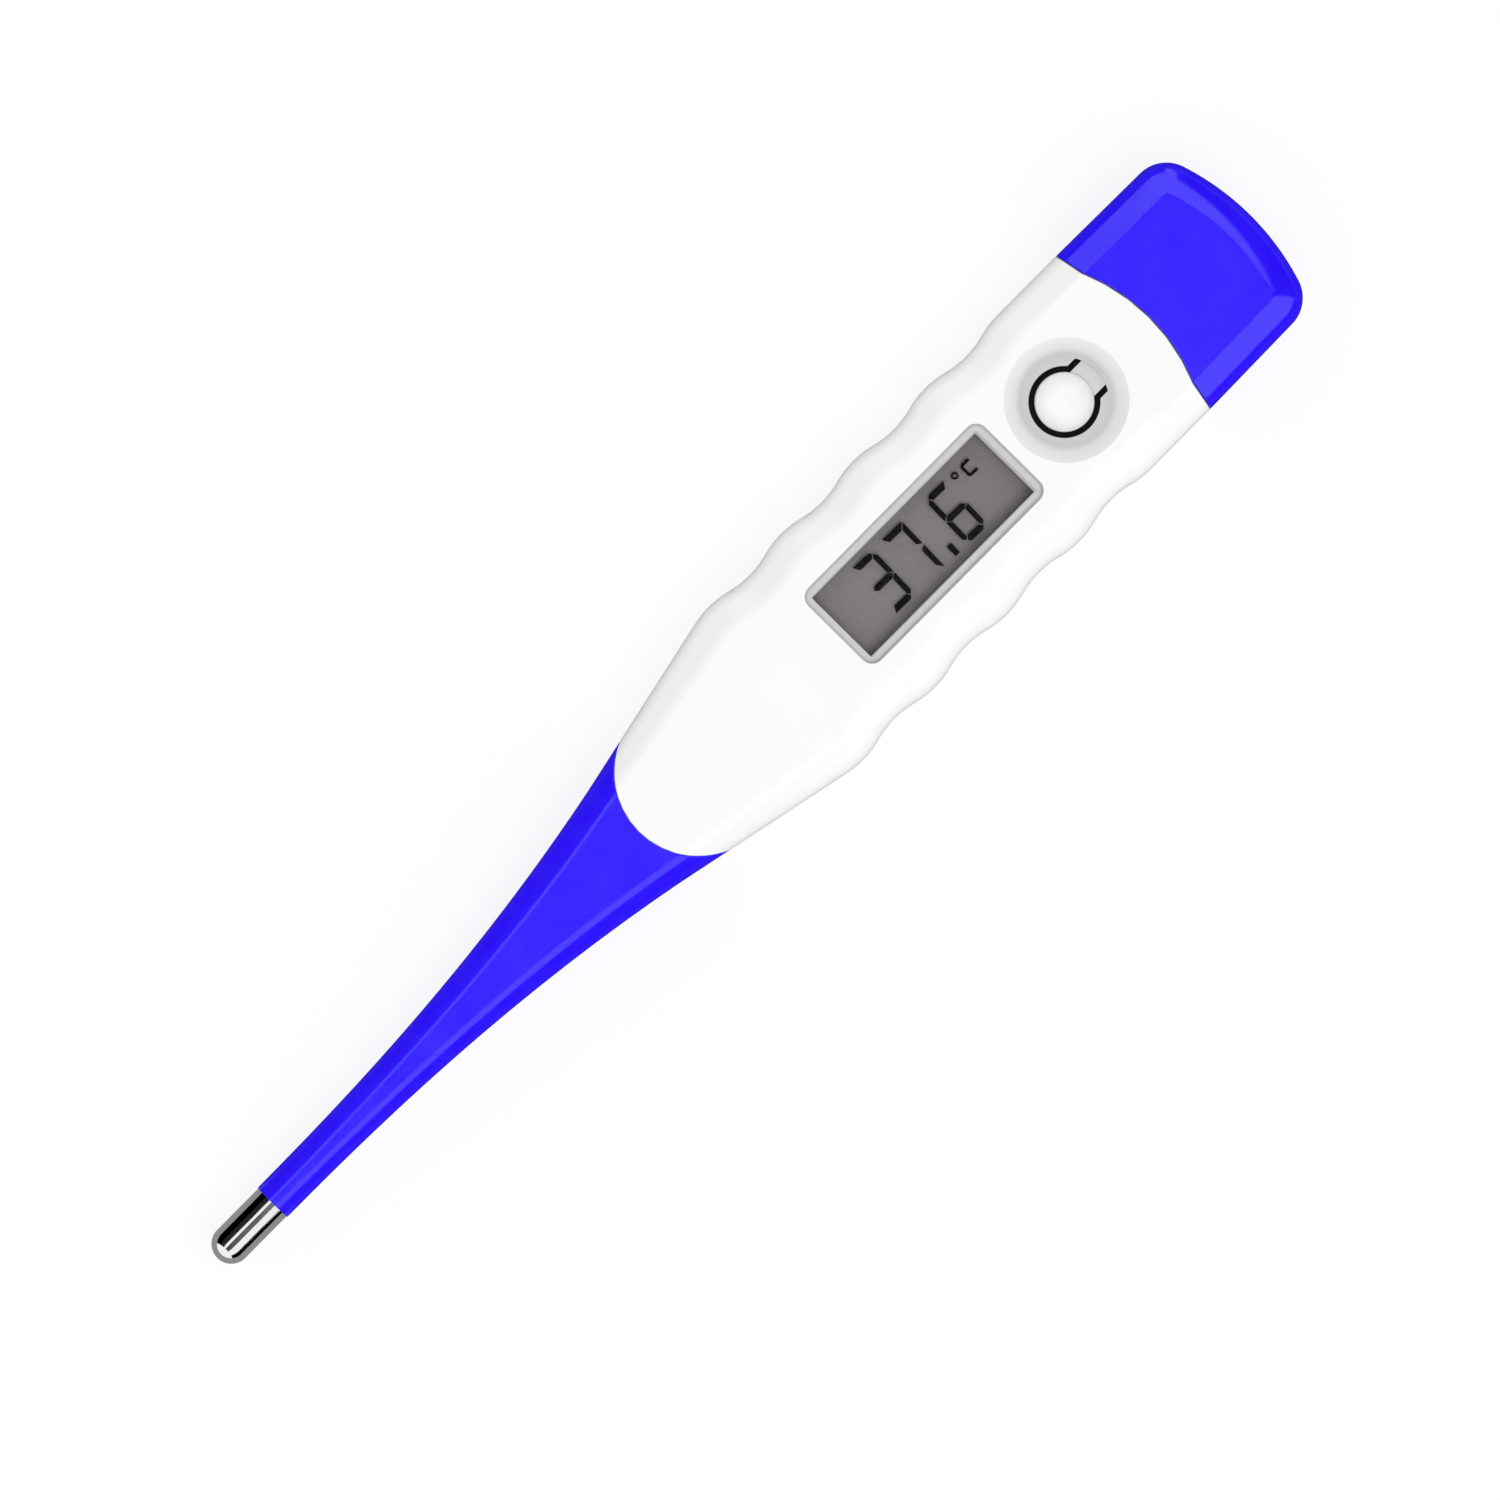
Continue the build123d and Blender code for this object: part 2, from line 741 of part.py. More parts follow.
# ---- Board and its components -----------------------------------------------------------------------
with BuildPart() as circuit_board:
    board_middle = (board_front + board_back) / 2
    board_length = board_back - board_front
    add(plate(board_middle, 0, board_length, 2 * board_half, board_bottom, board_thickness, board_corner))
    with BuildSketch(Plane.XY.offset(board_bottom)):
        with Locations(post_places()):
            Circle(pin_radius + running_gap)
    extrude(amount=board_thickness, mode=Mode.SUBTRACT)
circuit_board.part.label = "circuit_board"

with BuildPart() as controller_chip:
    chip_x = at(window_station + chip_shift)
    with BuildSketch(Plane.XZ.offset(-rear_glass_across)):
        with BuildLine():
            base = Line((chip_x, board_top), (chip_x + chip_radius, board_top))
            Line(base @ 0, (chip_x, board_top + chip_height))
            ThreePointArc(
                (chip_x, board_top + chip_height),
                (chip_x + 0.7 * chip_radius, board_top + 0.6 * chip_height),
                base @ 1,
            )
        make_face()
    revolve(axis=Axis((chip_x, rear_glass_across, 0), (0, 0, 1)))
controller_chip.part.label = "controller_chip"

with BuildPart() as smd_components:
    with BuildSketch(Plane.XY.offset(board_bottom - smd_height)):
        with Locations((at(board_front + smd_setback), 0)):
            with GridLocations(smd_pitch_x, smd_pitch_y, 3, 2):
                Rectangle(smd_length, smd_width)
    extrude(amount=smd_height)
smd_components.part.label = "smd_components"

# ---- Sounder ----------------------------------------------------------------------------------------
with BuildPart() as buzzer_disc:
    with BuildSketch(Plane.XY.offset(sounder_floor)):
        with Locations((at(sounder_station), 0)):
            Circle(disc_radius)
    extrude(amount=disc_thickness)
buzzer_disc.part.label = "buzzer_disc"

with BuildPart() as buzzer_ceramic:
    with BuildSketch(Plane.XY.offset(sounder_floor + disc_thickness)):
        with Locations((at(sounder_station), 0)):
            Circle(ceramic_radius)
    extrude(amount=ceramic_thickness)
buzzer_ceramic.part.label = "buzzer_ceramic"

with BuildPart() as buzzer_contacts:
    disc_touch = sounder_floor + disc_thickness
    rim_touch = (disc_radius + ceramic_radius) / 2
    springs = (
        (sounder_station, disc_touch + ceramic_thickness, spring_reach),
        (sounder_station - rim_touch, disc_touch, -spring_reach),
    )
    for station, touch, reach in springs:
        foot = spring_foot if reach > 0 else -spring_foot
        route = (
            (station - foot / 4, touch + spring_thickness / 2),
            (station + foot / 4, touch + spring_thickness / 2),
            (station + reach, board_bottom - spring_thickness / 2),
            (station + reach + foot, board_bottom - spring_thickness / 2),
        )
        add(strip(route, spring_thickness, spring_width))
buzzer_contacts.part.label = "buzzer_contacts"

# ---- Key, seal and contact pill ---------------------------------------------------------------------
key_bottom = skin_bottom + running_gap
with BuildPart() as power_button:
    with BuildSketch(Plane.XY.offset(dish_bottom - key_arm_thickness)):
        with Locations((at(key_station) + key_reach / 2, 0)):
            Rectangle(key_reach, key_arm)
    extrude(amount=key_arm_thickness)
    with BuildSketch(Plane.XZ):
        with BuildLine():
            key_x = at(key_station)
            side_top = key_bottom + key_plate
            Polyline(
                (key_x, side_top + key_dome),
                (key_x, key_bottom),
                (key_x + key_radius, key_bottom),
                (key_x + key_radius, side_top),
            )
            dome_radius = (key_radius**2 + key_dome**2) / (2 * key_dome)
            RadiusArc((key_x + key_radius, side_top), (key_x, side_top + key_dome), -dome_radius)
        make_face()
    revolve(axis=Axis((at(key_station), 0, 0), (0, 0, 1)))
power_button.part.label = "power_button"

with BuildPart() as button_membrane:
    with BuildSketch(Plane.XY.offset(skin_bottom - membrane_thickness)):
        with Locations((at(key_station), 0)):
            Circle(membrane_radius)
    extrude(amount=membrane_thickness)
    with BuildSketch(Plane.XY.offset(pill_top)):
        with Locations((at(key_station), 0)):
            Circle(plunger_radius)
    extrude(amount=skin_bottom - pill_top)
button_membrane.part.label = "button_membrane"

with BuildPart() as contact_pill:
    with BuildSketch(Plane.XY.offset(pill_top - pill_height)):
        with Locations((at(key_station), 0)):
            Circle(pill_radius)
    extrude(amount=pill_height)
contact_pill.part.label = "contact_pill"

# ---- Carrier with neck and battery tray -------------------------------------------------------------
neck_inset = cover_wall + neck_gap
neck_skin = skin(neck_inset)
groove_skin = skin(neck_inset + seal_depth)
neck_end = crown + neck_reach
tray_end = battery_station + pocket_radius + tray_wall
contact_thickness = spring_thickness

with BuildPart() as neck:
    add(neck_skin)
    add(slab(crown - collar_end, neck_end), mode=Mode.INTERSECT)

with BuildPart() as seal_groove:
    add(neck_skin)
    add(groove_skin, mode=Mode.SUBTRACT)
    add(slab(crown + seal_setback, crown + seal_setback + seal_width), mode=Mode.INTERSECT)

with BuildPart() as tray:
    tray_bottom = battery_bottom - contact_thickness - tray_floor
    with BuildSketch(Plane.XY.offset(tray_bottom)) as tray_plan:
        with Locations((at((neck_end + tray_end) / 2), 0)):
            Rectangle(tray_end - neck_end, 2 * tray_half_width)
        fillet(tray_plan.vertices().group_by(Axis.X)[-1], tray_corner)
    extrude(amount=battery_top - contact_slot - tray_bottom)

with BuildPart() as inner_frame:
    add(housing_fit)
    add(slab(crown - collar_start, crown - collar_end), mode=Mode.INTERSECT)
    add(neck.part)
    add(seal_groove.part, mode=Mode.SUBTRACT)
    add(tray.part)
    # Battery pocket, open to the face
    with BuildSketch(Plane.XY.offset(battery_bottom - contact_thickness)):
        with Locations((at(battery_station), 0)):
            Circle(pocket_radius)
    extrude(amount=height, mode=Mode.SUBTRACT)
    # Slots for the two contacts
    slot_middle = (crown - collar_start + battery_station) / 2
    slot_reach = battery_station - crown + collar_start
    slot_height = contact_thickness + 2 * contact_slot
    for level in (battery_bottom - contact_thickness - contact_slot, battery_top - contact_slot):
        slot = plate(slot_middle, 0, slot_reach, contact_width + 2 * contact_slot, level, slot_height)
        add(slot, mode=Mode.SUBTRACT)
inner_frame.part.label = "inner_frame"

with BuildPart() as cover_seal:
    add(skin(cover_wall + seal_gap))
    add(skin(neck_inset + seal_depth - running_gap), mode=Mode.SUBTRACT)
    seal_start = crown + seal_setback + running_gap
    add(slab(seal_start, seal_start + seal_width - 2 * running_gap), mode=Mode.INTERSECT)
cover_seal.part.label = "cover_seal"

with BuildPart() as battery_contact_positive:
    rest_level = battery_bottom - contact_thickness / 2
    pad_level = board_bottom - contact_thickness / 2
    route = (
        (board_back - contact_pad, pad_level),
        (board_back - contact_pad / 2, pad_level),
        (board_back + contact_drop, rest_level),
        (battery_station + contact_reach, rest_level),
    )
    add(strip(route, contact_thickness, contact_width))
battery_contact_positive.part.label = "battery_contact_positive"

with BuildPart() as battery_contact_negative:
    lid_level = battery_top + contact_thickness / 2
    top_pad_level = board_top + contact_thickness / 2
    route = (
        (board_back - contact_pad / 2, top_pad_level),
        (board_back - contact_drop, top_pad_level),
        (board_back + contact_drop, lid_level),
        (battery_station + contact_reach / 2, lid_level),
    )
    add(strip(route, contact_thickness, contact_width))
battery_contact_negative.part.label = "battery_contact_negative"

# ---- Button cell ------------------------------------------------------------------------------------
with BuildPart() as battery_can:
    with BuildSketch(Plane.XY.offset(battery_bottom)):
        with Locations((at(battery_station), 0)):
            Circle(battery_diameter / 2)
    extrude(amount=battery_height - can_setback)
    fillet(battery_can.edges().group_by(Axis.Z)[0], can_rounding)
    with BuildSketch(Plane.XY.offset(battery_top - lid_height)):
        with Locations((at(battery_station), 0)):
            Circle(lid_radius + lid_seal_width)
    extrude(amount=lid_height, mode=Mode.SUBTRACT)
battery_can.part.label = "battery_can"

with BuildPart() as battery_lid:
    with BuildSketch(Plane.XY.offset(battery_top - lid_height)):
        with Locations((at(battery_station), 0)):
            Circle(lid_radius)
    extrude(amount=lid_height)
    fillet(battery_lid.edges().group_by(Axis.Z)[-1], lid_rounding)
battery_lid.part.label = "battery_lid"

with BuildPart() as battery_seal:
    with BuildSketch(Plane.XY.offset(battery_top - lid_height)):
        with Locations((at(battery_station), 0)):
            Circle(lid_radius + lid_seal_width - seal_play)
            Circle(lid_radius + seal_play, mode=Mode.SUBTRACT)
    extrude(amount=lid_height - can_setback)
battery_seal.part.label = "battery_seal"

# ---- Battery cover ----------------------------------------------------------------------------------
with BuildPart() as battery_cover:
    add(outer)
    extrude(parting_plan(parting_gap), amount=height, mode=Mode.SUBTRACT)
    add(cover_hollow, mode=Mode.SUBTRACT)
battery_cover.part.label = "battery_cover"

# ---- Files ------------------------------------------------------------------------------------------
pieces = (
    steel_tip,
    thermistor,
    thermal_potting,
    tip_ferrule,
    flexible_stem,
    stem_collar,
    lead_wires,
    front_shell,
    rear_shell,
    display_window,
    window_gasket,
    front_polarizer,
    lcd_front_glass,
    lcd_rear_glass,
    rear_polarizer,
    zebra_connector,
    display_bracket,
    circuit_board,
    controller_chip,
    smd_components,
    buzzer_disc,
    buzzer_ceramic,
    buzzer_contacts,
    power_button,
    button_membrane,
    contact_pill,
    inner_frame,
    cover_seal,
    battery_contact_positive,
    battery_contact_negative,
    battery_can,
    battery_lid,
    battery_seal,
    battery_cover,
)
os.makedirs("parts", exist_ok=True)
for piece in pieces:
    export_step(piece.part, f"parts/{piece.part.label}.step")
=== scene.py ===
"""Looks of a pen-shaped digital thermometer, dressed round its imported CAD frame.

Lengths are in millimetres until a mesh is made.  A station is a distance from the end of the steel
tip towards the battery cover, and Form.x turns it into the frame's X.  The display faces +Z.
"""

import json
import logging
import math
from dataclasses import dataclass, field
from enum import Enum, IntEnum
from typing import Callable, Optional, Sequence

import bmesh
import bpy
import numpy as np
from mathutils import Matrix, Vector


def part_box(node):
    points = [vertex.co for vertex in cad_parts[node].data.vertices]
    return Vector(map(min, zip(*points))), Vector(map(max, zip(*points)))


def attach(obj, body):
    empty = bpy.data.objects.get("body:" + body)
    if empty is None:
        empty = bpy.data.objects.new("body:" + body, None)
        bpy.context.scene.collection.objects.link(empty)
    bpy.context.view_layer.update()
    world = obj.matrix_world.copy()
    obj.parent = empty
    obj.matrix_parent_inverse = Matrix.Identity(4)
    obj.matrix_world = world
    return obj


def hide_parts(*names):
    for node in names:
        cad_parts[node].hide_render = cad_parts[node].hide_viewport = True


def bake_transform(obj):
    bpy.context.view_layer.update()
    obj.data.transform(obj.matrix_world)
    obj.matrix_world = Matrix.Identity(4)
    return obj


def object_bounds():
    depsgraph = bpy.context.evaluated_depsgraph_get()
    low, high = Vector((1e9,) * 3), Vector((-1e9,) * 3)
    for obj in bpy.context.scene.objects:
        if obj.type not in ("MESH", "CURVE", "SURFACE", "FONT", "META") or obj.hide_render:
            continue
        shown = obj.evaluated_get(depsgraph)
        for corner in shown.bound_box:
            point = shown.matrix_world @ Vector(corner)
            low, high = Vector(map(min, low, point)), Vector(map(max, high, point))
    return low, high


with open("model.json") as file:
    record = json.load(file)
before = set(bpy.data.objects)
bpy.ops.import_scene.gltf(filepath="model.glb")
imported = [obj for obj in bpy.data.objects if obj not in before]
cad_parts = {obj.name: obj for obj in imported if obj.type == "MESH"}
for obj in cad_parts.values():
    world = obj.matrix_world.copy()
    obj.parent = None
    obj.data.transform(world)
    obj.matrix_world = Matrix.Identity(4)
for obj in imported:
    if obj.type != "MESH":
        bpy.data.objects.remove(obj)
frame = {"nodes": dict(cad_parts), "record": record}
cad_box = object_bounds()

LOG = logging.getLogger("thermometer")
MM = 0.001
SHARP_ANGLE = math.radians(28)
AXIS_RADIUS = 0.05  # turned profiles start here, so that no point lies on the axis
ARM_HALF = 1.53  # half the width of the key's arm
LEAD_IN = 0.08  # length of the small chamfer at a parting between pieces
LEAD_IN_DEPTH = 0.8 * LEAD_IN
CLEARANCE = 1.0  # how far a cutter stands beyond the face that it opens
OUTLINE_SAMPLES = 1200
MEET_PASSES = 40
NOISE_RANGE = (0.25, 0.75)  # noise keeps near its middle, and this much of it is spread out
LEAST_ROUGHNESS = 0.02
BEVEL_SAMPLES = 6

Colour = tuple[float, float, float]
Loop = np.ndarray


# ---- Small helpers ----------------------------------------------------------------------------------
def srgb(red: int, green: int, blue: int) -> Colour:
    """Linear colour of an 8-bit display colour.

    Args:
        red, green, blue: channel values from 0 to 255.

    Returns:
        The three linear channels.
    """
    shares = np.array([red, green, blue]) / 255
    linear = np.where(shares <= 0.04045, shares / 12.92, ((shares + 0.055) / 1.055) ** 2.4)
    return tuple(float(channel) for channel in linear)


def smooth(value: np.ndarray, start: float, end: float) -> np.ndarray:
    """Smooth step: 0 before start, 1 after end, and 3t^2 - 2t^3 between them.

    Args:
        value: where to read the step.
        start: last value at which it is 0.
        end: first value at which it is 1.

    Returns:
        The step at each value.
    """
    share = np.clip((value - start) / (end - start), 0, 1)
    return share * share * (3 - 2 * share)


def node_box(node: str) -> tuple[np.ndarray, np.ndarray]:
    """Lowest and highest corner of a CAD node, in millimetres.

    Args:
        node: the CAD node's name.

    Returns:
        The two corners.
    """
    low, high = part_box(node)
    return np.array(low) / MM, np.array(high) / MM


def spokes(angle: np.ndarray) -> np.ndarray:
    """Unit vectors (cos a, sin a) at angles in radians."""
    return np.stack([np.cos(angle), np.sin(angle)], axis=-1)


def circle(radius: float, count: int) -> Loop:
    """Points (r cos a, r sin a) at even angles round a circle.

    Args:
        radius: its radius.
        count: how many points.

    Returns:
        An array of count plan points.
    """
    return radius * spokes(np.linspace(0, 2 * math.pi, count, endpoint=False))


def at_level(plan: Loop, level: float) -> np.ndarray:
    """The points of a plan outline, raised to a level."""
    return np.column_stack([plan, np.full(len(plan), level)])


def rounded_rectangle(length: float, width: float, corner: float, steps: int = 8) -> Loop:
    """Rectangle with round corners: each quarter circle is carried out to its corner's centre.

    Args:
        length: size along X.
        width: size along Y.
        corner: radius of the corners.
        steps: points on each corner.

    Returns:
        Plan points, anticlockwise.
    """
    angle = np.linspace(0, math.pi / 2, steps)
    turns = np.concatenate([angle + quarter * math.pi / 2 for quarter in range(4)])
    across = np.repeat([1, -1, -1, 1], steps) * (length / 2 - corner)
    up = np.repeat([1, 1, -1, -1], steps) * (width / 2 - corner)
    return np.stack([across, up], axis=-1) + corner * spokes(turns)


# ---- Form of the thermometer ------------------------------------------------------------------------
class Run(IntEnum):
    """Stretches of a quarter section, from the side to the middle of the face."""

    RIM = 0
    SIDE = 1
    EDGE = 2
    SHOULDER = 3
    CREASE = 4
    FACE = 5


@dataclass(frozen=True)
class Columns:
    """Lines that run along the skin: which stretch of the section each lies on, and how far along it."""

    run: np.ndarray
    share: np.ndarray
    across: np.ndarray
    up: np.ndarray

    @classmethod
    def quarter(cls, rim: bool) -> "Columns":
        """Columns from the side up to the middle of the face.

        Args:
            rim: whether the side starts with the small chamfer of a parting line.

        Returns:
            The columns of one quarter.
        """
        shares = {
            Run.RIM: [0.0] if rim else [],
            Run.SIDE: [0.05, 0.5, 0.95] if rim else [0.0, 0.5, 0.95],
            Run.EDGE: np.linspace(0, 1, 9),
            Run.SHOULDER: [0.06, 0.25, 0.5, 0.75, 0.94],
            Run.CREASE: np.linspace(0, 1, 9),
            Run.FACE: [0.04, 0.3, 0.65, 1.0],
        }
        run = np.concatenate([np.full(len(values), int(kind)) for kind, values in shares.items()])
        share = np.concatenate([np.asarray(values, float) for values in shares.values()])
        return cls(run, share, np.ones(len(run)), np.ones(len(run)))

    def mirrored(self, across: int, up: int) -> "Columns":
        """The same columns on the other side of the middle, in reverse order."""
        return Columns(self.run[::-1], self.share[::-1], self.across[::-1] * across, self.up[::-1] * up)

    def part(self, keep: slice) -> "Columns":
        """A slice of these columns."""
        return Columns(self.run[keep], self.share[keep], self.across[keep], self.up[keep])

    def joined(self, other: "Columns") -> "Columns":
        """These columns followed by others.

        Args:
            other: the columns to add.

        Returns:
            The longer set of columns.
        """
        return Columns(
            np.concatenate([self.run, other.run]),
            np.concatenate([self.share, other.share]),
            np.concatenate([self.across, other.across]),
            np.concatenate([self.up, other.up]),
        )

    @classmethod
    def half(cls, up: int, rim: bool = True) -> "Columns":
        """Columns over the upper half (up = 1) or the lower half (up = -1), from +Y to -Y.

        Args:
            up: 1 or -1.
            rim: whether each side starts with the chamfer of a parting line.

        Returns:
            The columns of that half.
        """
        quarter = cls.quarter(rim)
        half = quarter.joined(quarter.mirrored(-1, 1).part(slice(1, None)))
        return cls(half.run, half.share, half.across, half.up * up)

    @classmethod
    def ring(cls) -> "Columns":
        """Columns all the way round, each once."""
        upper = cls.half(1, rim=False)
        return upper.joined(upper.mirrored(1, -1).part(slice(1, -1)))


@dataclass(frozen=True)
class Form:
    """Outer form of the thermometer.  Its methods take arrays of stations and return arrays like them."""

    length: float
    half_width: float
    mid: float
    rubber: float
    nose: float
    crown: float
    seat_setback: float = 0.4
    crest_setback: float = 18.8
    join_setback: float = 14.8
    grip_pitch: float = 9.25
    grip_depth: float = 0.6
    grip_count: int = 4
    taper: float = math.radians(12)
    nose_half_height: float = 4.3
    knee_reach: float = 1.9
    shoulder: float = 2.8
    drop: float = 1.6
    edge_radius: float = 2.0
    stem_rounding: float = 1.3
    root_flat: float = 0.68
    tip_flat: float = 0.30
    root_drop: float = 1.25
    tip_drop: float = 0.55
    tip_step: float = 0.09
    width_power: float = 2.3
    height_power: float = 1.8
    crisp_crease: float = 0.3
    root_crease: float = 2.0
    soft_crease: float = 2.6
    crease_hold: float = 1.0
    crease_fade: float = 6.0
    corner_share: float = 0.48
    side_share: float = 0.9
    rim_chamfer: float = 0.07
    nose_radius: float = 7.6
    butt_setback: float = 5.0
    parting_radius: float = 17.8
    parting_half_chord: float = 7.0
    parting_side_drop: float = 1.9
    end_radius: float = 24.0
    end_draft: float = 0.2
    end_corner: float = 3.4

    @classmethod
    def from_frame(cls) -> "Form":
        """The form at the sizes that the CAD nodes have.

        Returns:
            The form.
        """
        low, high = (np.array(corner) / MM for corner in cad_box)
        tip_low, tip_high = node_box("steel_tip")
        shell_low, shell_high = node_box("front_shell")
        start = tip_low[0]
        return cls(
            length=float(high[0] - low[0]),
            half_width=float(shell_high[1]),
            mid=float(shell_high[2] / 2),
            rubber=float(round(tip_high[0] - start, 1)),
            nose=float(shell_low[0] - start),
            crown=float(shell_high[0] - start),
        )

    @property
    def seat(self) -> float:
        """Station at which the stem's flare meets the housing's taper."""
        return self.nose - self.seat_setback

    @property
    def crest(self) -> float:
        """Station of the first grip's crest."""
        return self.nose + self.crest_setback

    @property
    def last_crest(self) -> float:
        """Station of the last grip's crest."""
        return self.crest + self.grip_count * self.grip_pitch

    @property
    def join(self) -> float:
        """Station at which the nose's shoulders reach their full size."""
        return self.nose + self.join_setback

    @property
    def side_end(self) -> float:
        """Station of the parting at each side, from where the side has its draft."""
        return self.crown - self.parting_side_drop

    @property
    def side_slope(self) -> float:
        """Slope of the drafted side of the cover."""
        return self.end_draft / (self.length - self.side_end)

    @property
    def tip_radius(self) -> float:
        """Radius of the rubber where it starts."""
        return float(node_box("steel_tip")[1][1]) + self.tip_step

    def x(self, station: np.ndarray) -> np.ndarray:
        """Frame X of a station."""
        return station - self.length / 2

    def half_outline(self, station: np.ndarray) -> np.ndarray:
        """Half the width of the housing in plan.

        A straight taper runs into equal arcs that swing between crest and valley, where an arc of
        radius r at distance p from its own middle lies r - sqrt(r^2 - p^2) in or out, and then into
        a straight side with a little draft.

        Args:
            station: where to measure.

        Returns:
            The half width there.
        """
        turn = 2 * math.atan(2 * self.grip_depth / self.grip_pitch)
        radius = self.grip_pitch / (4 * math.sin(turn))
        taper_end = self.crest - radius * math.sin(self.taper)
        taper_half = self.half_width - radius * (1 - math.cos(self.taper))
        straight = taper_half - (taper_end - station) * math.tan(self.taper)
        phase = np.abs((station - self.crest + self.grip_pitch / 2) % self.grip_pitch - self.grip_pitch / 2)
        crest_reach = np.minimum(phase, self.grip_pitch / 4)
        on_crest = self.half_width - radius + np.sqrt(radius**2 - crest_reach**2)
        valley_reach = np.minimum(self.grip_pitch / 2 - phase, self.grip_pitch / 4)
        on_valley = self.half_width - self.grip_depth + radius - np.sqrt(radius**2 - valley_reach**2)
        first_reach = np.clip(self.crest - station, 0, self.crest - taper_end)
        first_arc = self.half_width - radius + np.sqrt(radius**2 - first_reach**2)
        wave = np.where(phase < self.grip_pitch / 4, on_crest, on_valley)
        wave = np.where(station < self.crest, first_arc, wave)
        side = self.half_width - self.side_slope * np.maximum(station - self.side_end, 0)
        return np.where(station < taper_end, straight, np.where(station > self.last_crest, side, wave))

    def stem_share(self, station: np.ndarray) -> np.ndarray:
        """Share of the way along the stem, from the start of the rubber to the seat."""
        return np.clip((station - self.rubber) / (self.seat - self.rubber), 0, 1)

    def nose_share(self, station: np.ndarray) -> np.ndarray:
        """Share of the way over the nose, from the seat to the join."""
        return np.clip((station - self.seat) / (self.join - self.seat), 0, 1)

    def flare(self, station: np.ndarray, root: float, power: float) -> np.ndarray:
        """Size of the stem: its tip radius plus a share of the way to the root, raised to a power."""
        return self.tip_radius + (root - self.tip_radius) * self.stem_share(station) ** power

    def width(self, station: np.ndarray) -> np.ndarray:
        """Half the width of stem and housing.

        Args:
            station: where to measure.

        Returns:
            The half width there.
        """
        root = float(self.half_outline(np.array(self.seat)))
        stem = self.flare(station, root, self.width_power)
        return np.where(station < self.seat, stem, self.half_outline(station))

    def height(self, station: np.ndarray) -> np.ndarray:
        """Half the height: the flare, a straight rise to the crest, and a level body with a soft knee.

        Args:
            station: where to measure.

        Returns:
            The half height there.
        """
        rise = (self.mid - self.nose_half_height) / self.crest_setback
        root = self.nose_half_height - rise * self.seat_setback
        stem = self.flare(station, root, self.height_power)
        past = station - self.crest
        knee = -rise * (self.knee_reach - past) ** 2 / (4 * self.knee_reach)
        line = np.where(past < -self.knee_reach, rise * past, np.where(past < self.knee_reach, knee, 0.0))
        return np.where(station < self.seat, stem, self.mid + line)

    def crease(self, station: np.ndarray) -> np.ndarray:
        """Half the width of the flat face: the outline moved inwards, ruled straight over the nose.

        Args:
            station: where to measure.

        Returns:
            The face's half width there.
        """
        along = np.linspace(self.join, self.length, OUTLINE_SAMPLES)
        outline = self.half_outline(along)
        slope = np.gradient(outline, along)
        shrink = self.shoulder / np.sqrt(1 + slope**2)
        body = np.interp(station, along + shrink * slope, outline - shrink)
        flat = self.tip_flat + (self.root_flat - self.tip_flat) * self.stem_share(station)
        stem = self.width(station) * flat
        root = self.root_flat * float(self.half_outline(np.array(self.seat)))
        join = float(np.interp(self.join, along + shrink * slope, outline - shrink))
        nose = root + (join - root) * self.nose_share(station)
        return np.select([station < self.seat, station < self.join], [stem, nose], body)

    def fall(self, station: np.ndarray) -> np.ndarray:
        """How far the shoulder falls from the face to the side.

        Args:
            station: where to measure.

        Returns:
            The fall there.
        """
        root_share = self.root_drop / self.nose_half_height
        share = self.tip_drop + (root_share - self.tip_drop) * self.stem_share(station)
        nose = self.root_drop + (self.drop - self.root_drop) * self.nose_share(station)
        return np.where(station < self.seat, self.height(station) * share, nose)

    def crease_radius(self, station: np.ndarray) -> np.ndarray:
        """Radius of the crease: rounder from the tip to the root, soft on the body, crisp by the cover.

        Args:
            station: where to measure.

        Returns:
            The radius there.
        """
        hold = self.last_crest + self.crease_hold
        places = [self.rubber, self.seat, self.join, hold, hold + self.crease_fade]
        radii = [self.stem_rounding, self.root_crease, self.soft_crease, self.soft_crease, self.crisp_crease]
        return np.interp(station, places, radii)

    def skin(self, station: np.ndarray, columns: Columns, inset: np.ndarray | float = 0.0) -> np.ndarray:
        """Points of the skin, or of a surface inset from it.

        The section is a side, a shoulder and a face with an arc at each corner.  A point on an arc is
        its centre plus r (cos a, sin a), where a is the angle of the outward normal, which runs from
        0 on the side through the shoulder's own angle to a right angle on the face.  An inset moves
        each line inwards, so a corner between normals a and b moves by inset tan((b - a) / 2) along
        the line.

        Args:
            station: stations, with one value per column along the last axis.
            columns: the columns of the grid.
            inset: distance inwards, as one value or one per row.

        Returns:
            Points (x, y, z), with the shape of station and one more axis.
        """
        full_width, full_height, fall = self.width(station), self.height(station), self.fall(station)
        tilt = np.arctan2(full_width - self.crease(station), fall)
        turn = math.pi / 2 - tilt
        side = full_width - inset
        face = full_height - inset
        low = full_height - fall - inset * np.tan(tilt / 2)
        crease = self.crease(station) - inset * np.tan(turn / 2)
        room = self.corner_share * np.hypot(side - crease, face - low)
        edge = np.where(station < self.nose, self.stem_rounding, self.edge_radius)
        edge_cut = np.minimum(np.minimum(edge * np.tan(tilt / 2), room), self.side_share * low)
        edge = edge_cut / np.tan(tilt / 2)
        crease_cut = np.minimum(np.minimum(self.crease_radius(station) * np.tan(turn / 2), room), crease)
        radius = crease_cut / np.tan(turn / 2)
        run, share = columns.run, columns.share
        angle = np.select(
            [run <= Run.SIDE, run == Run.EDGE, run == Run.SHOULDER, run == Run.CREASE],
            [0 * tilt, share * tilt, tilt, tilt + share * turn],
            math.pi / 2,
        )
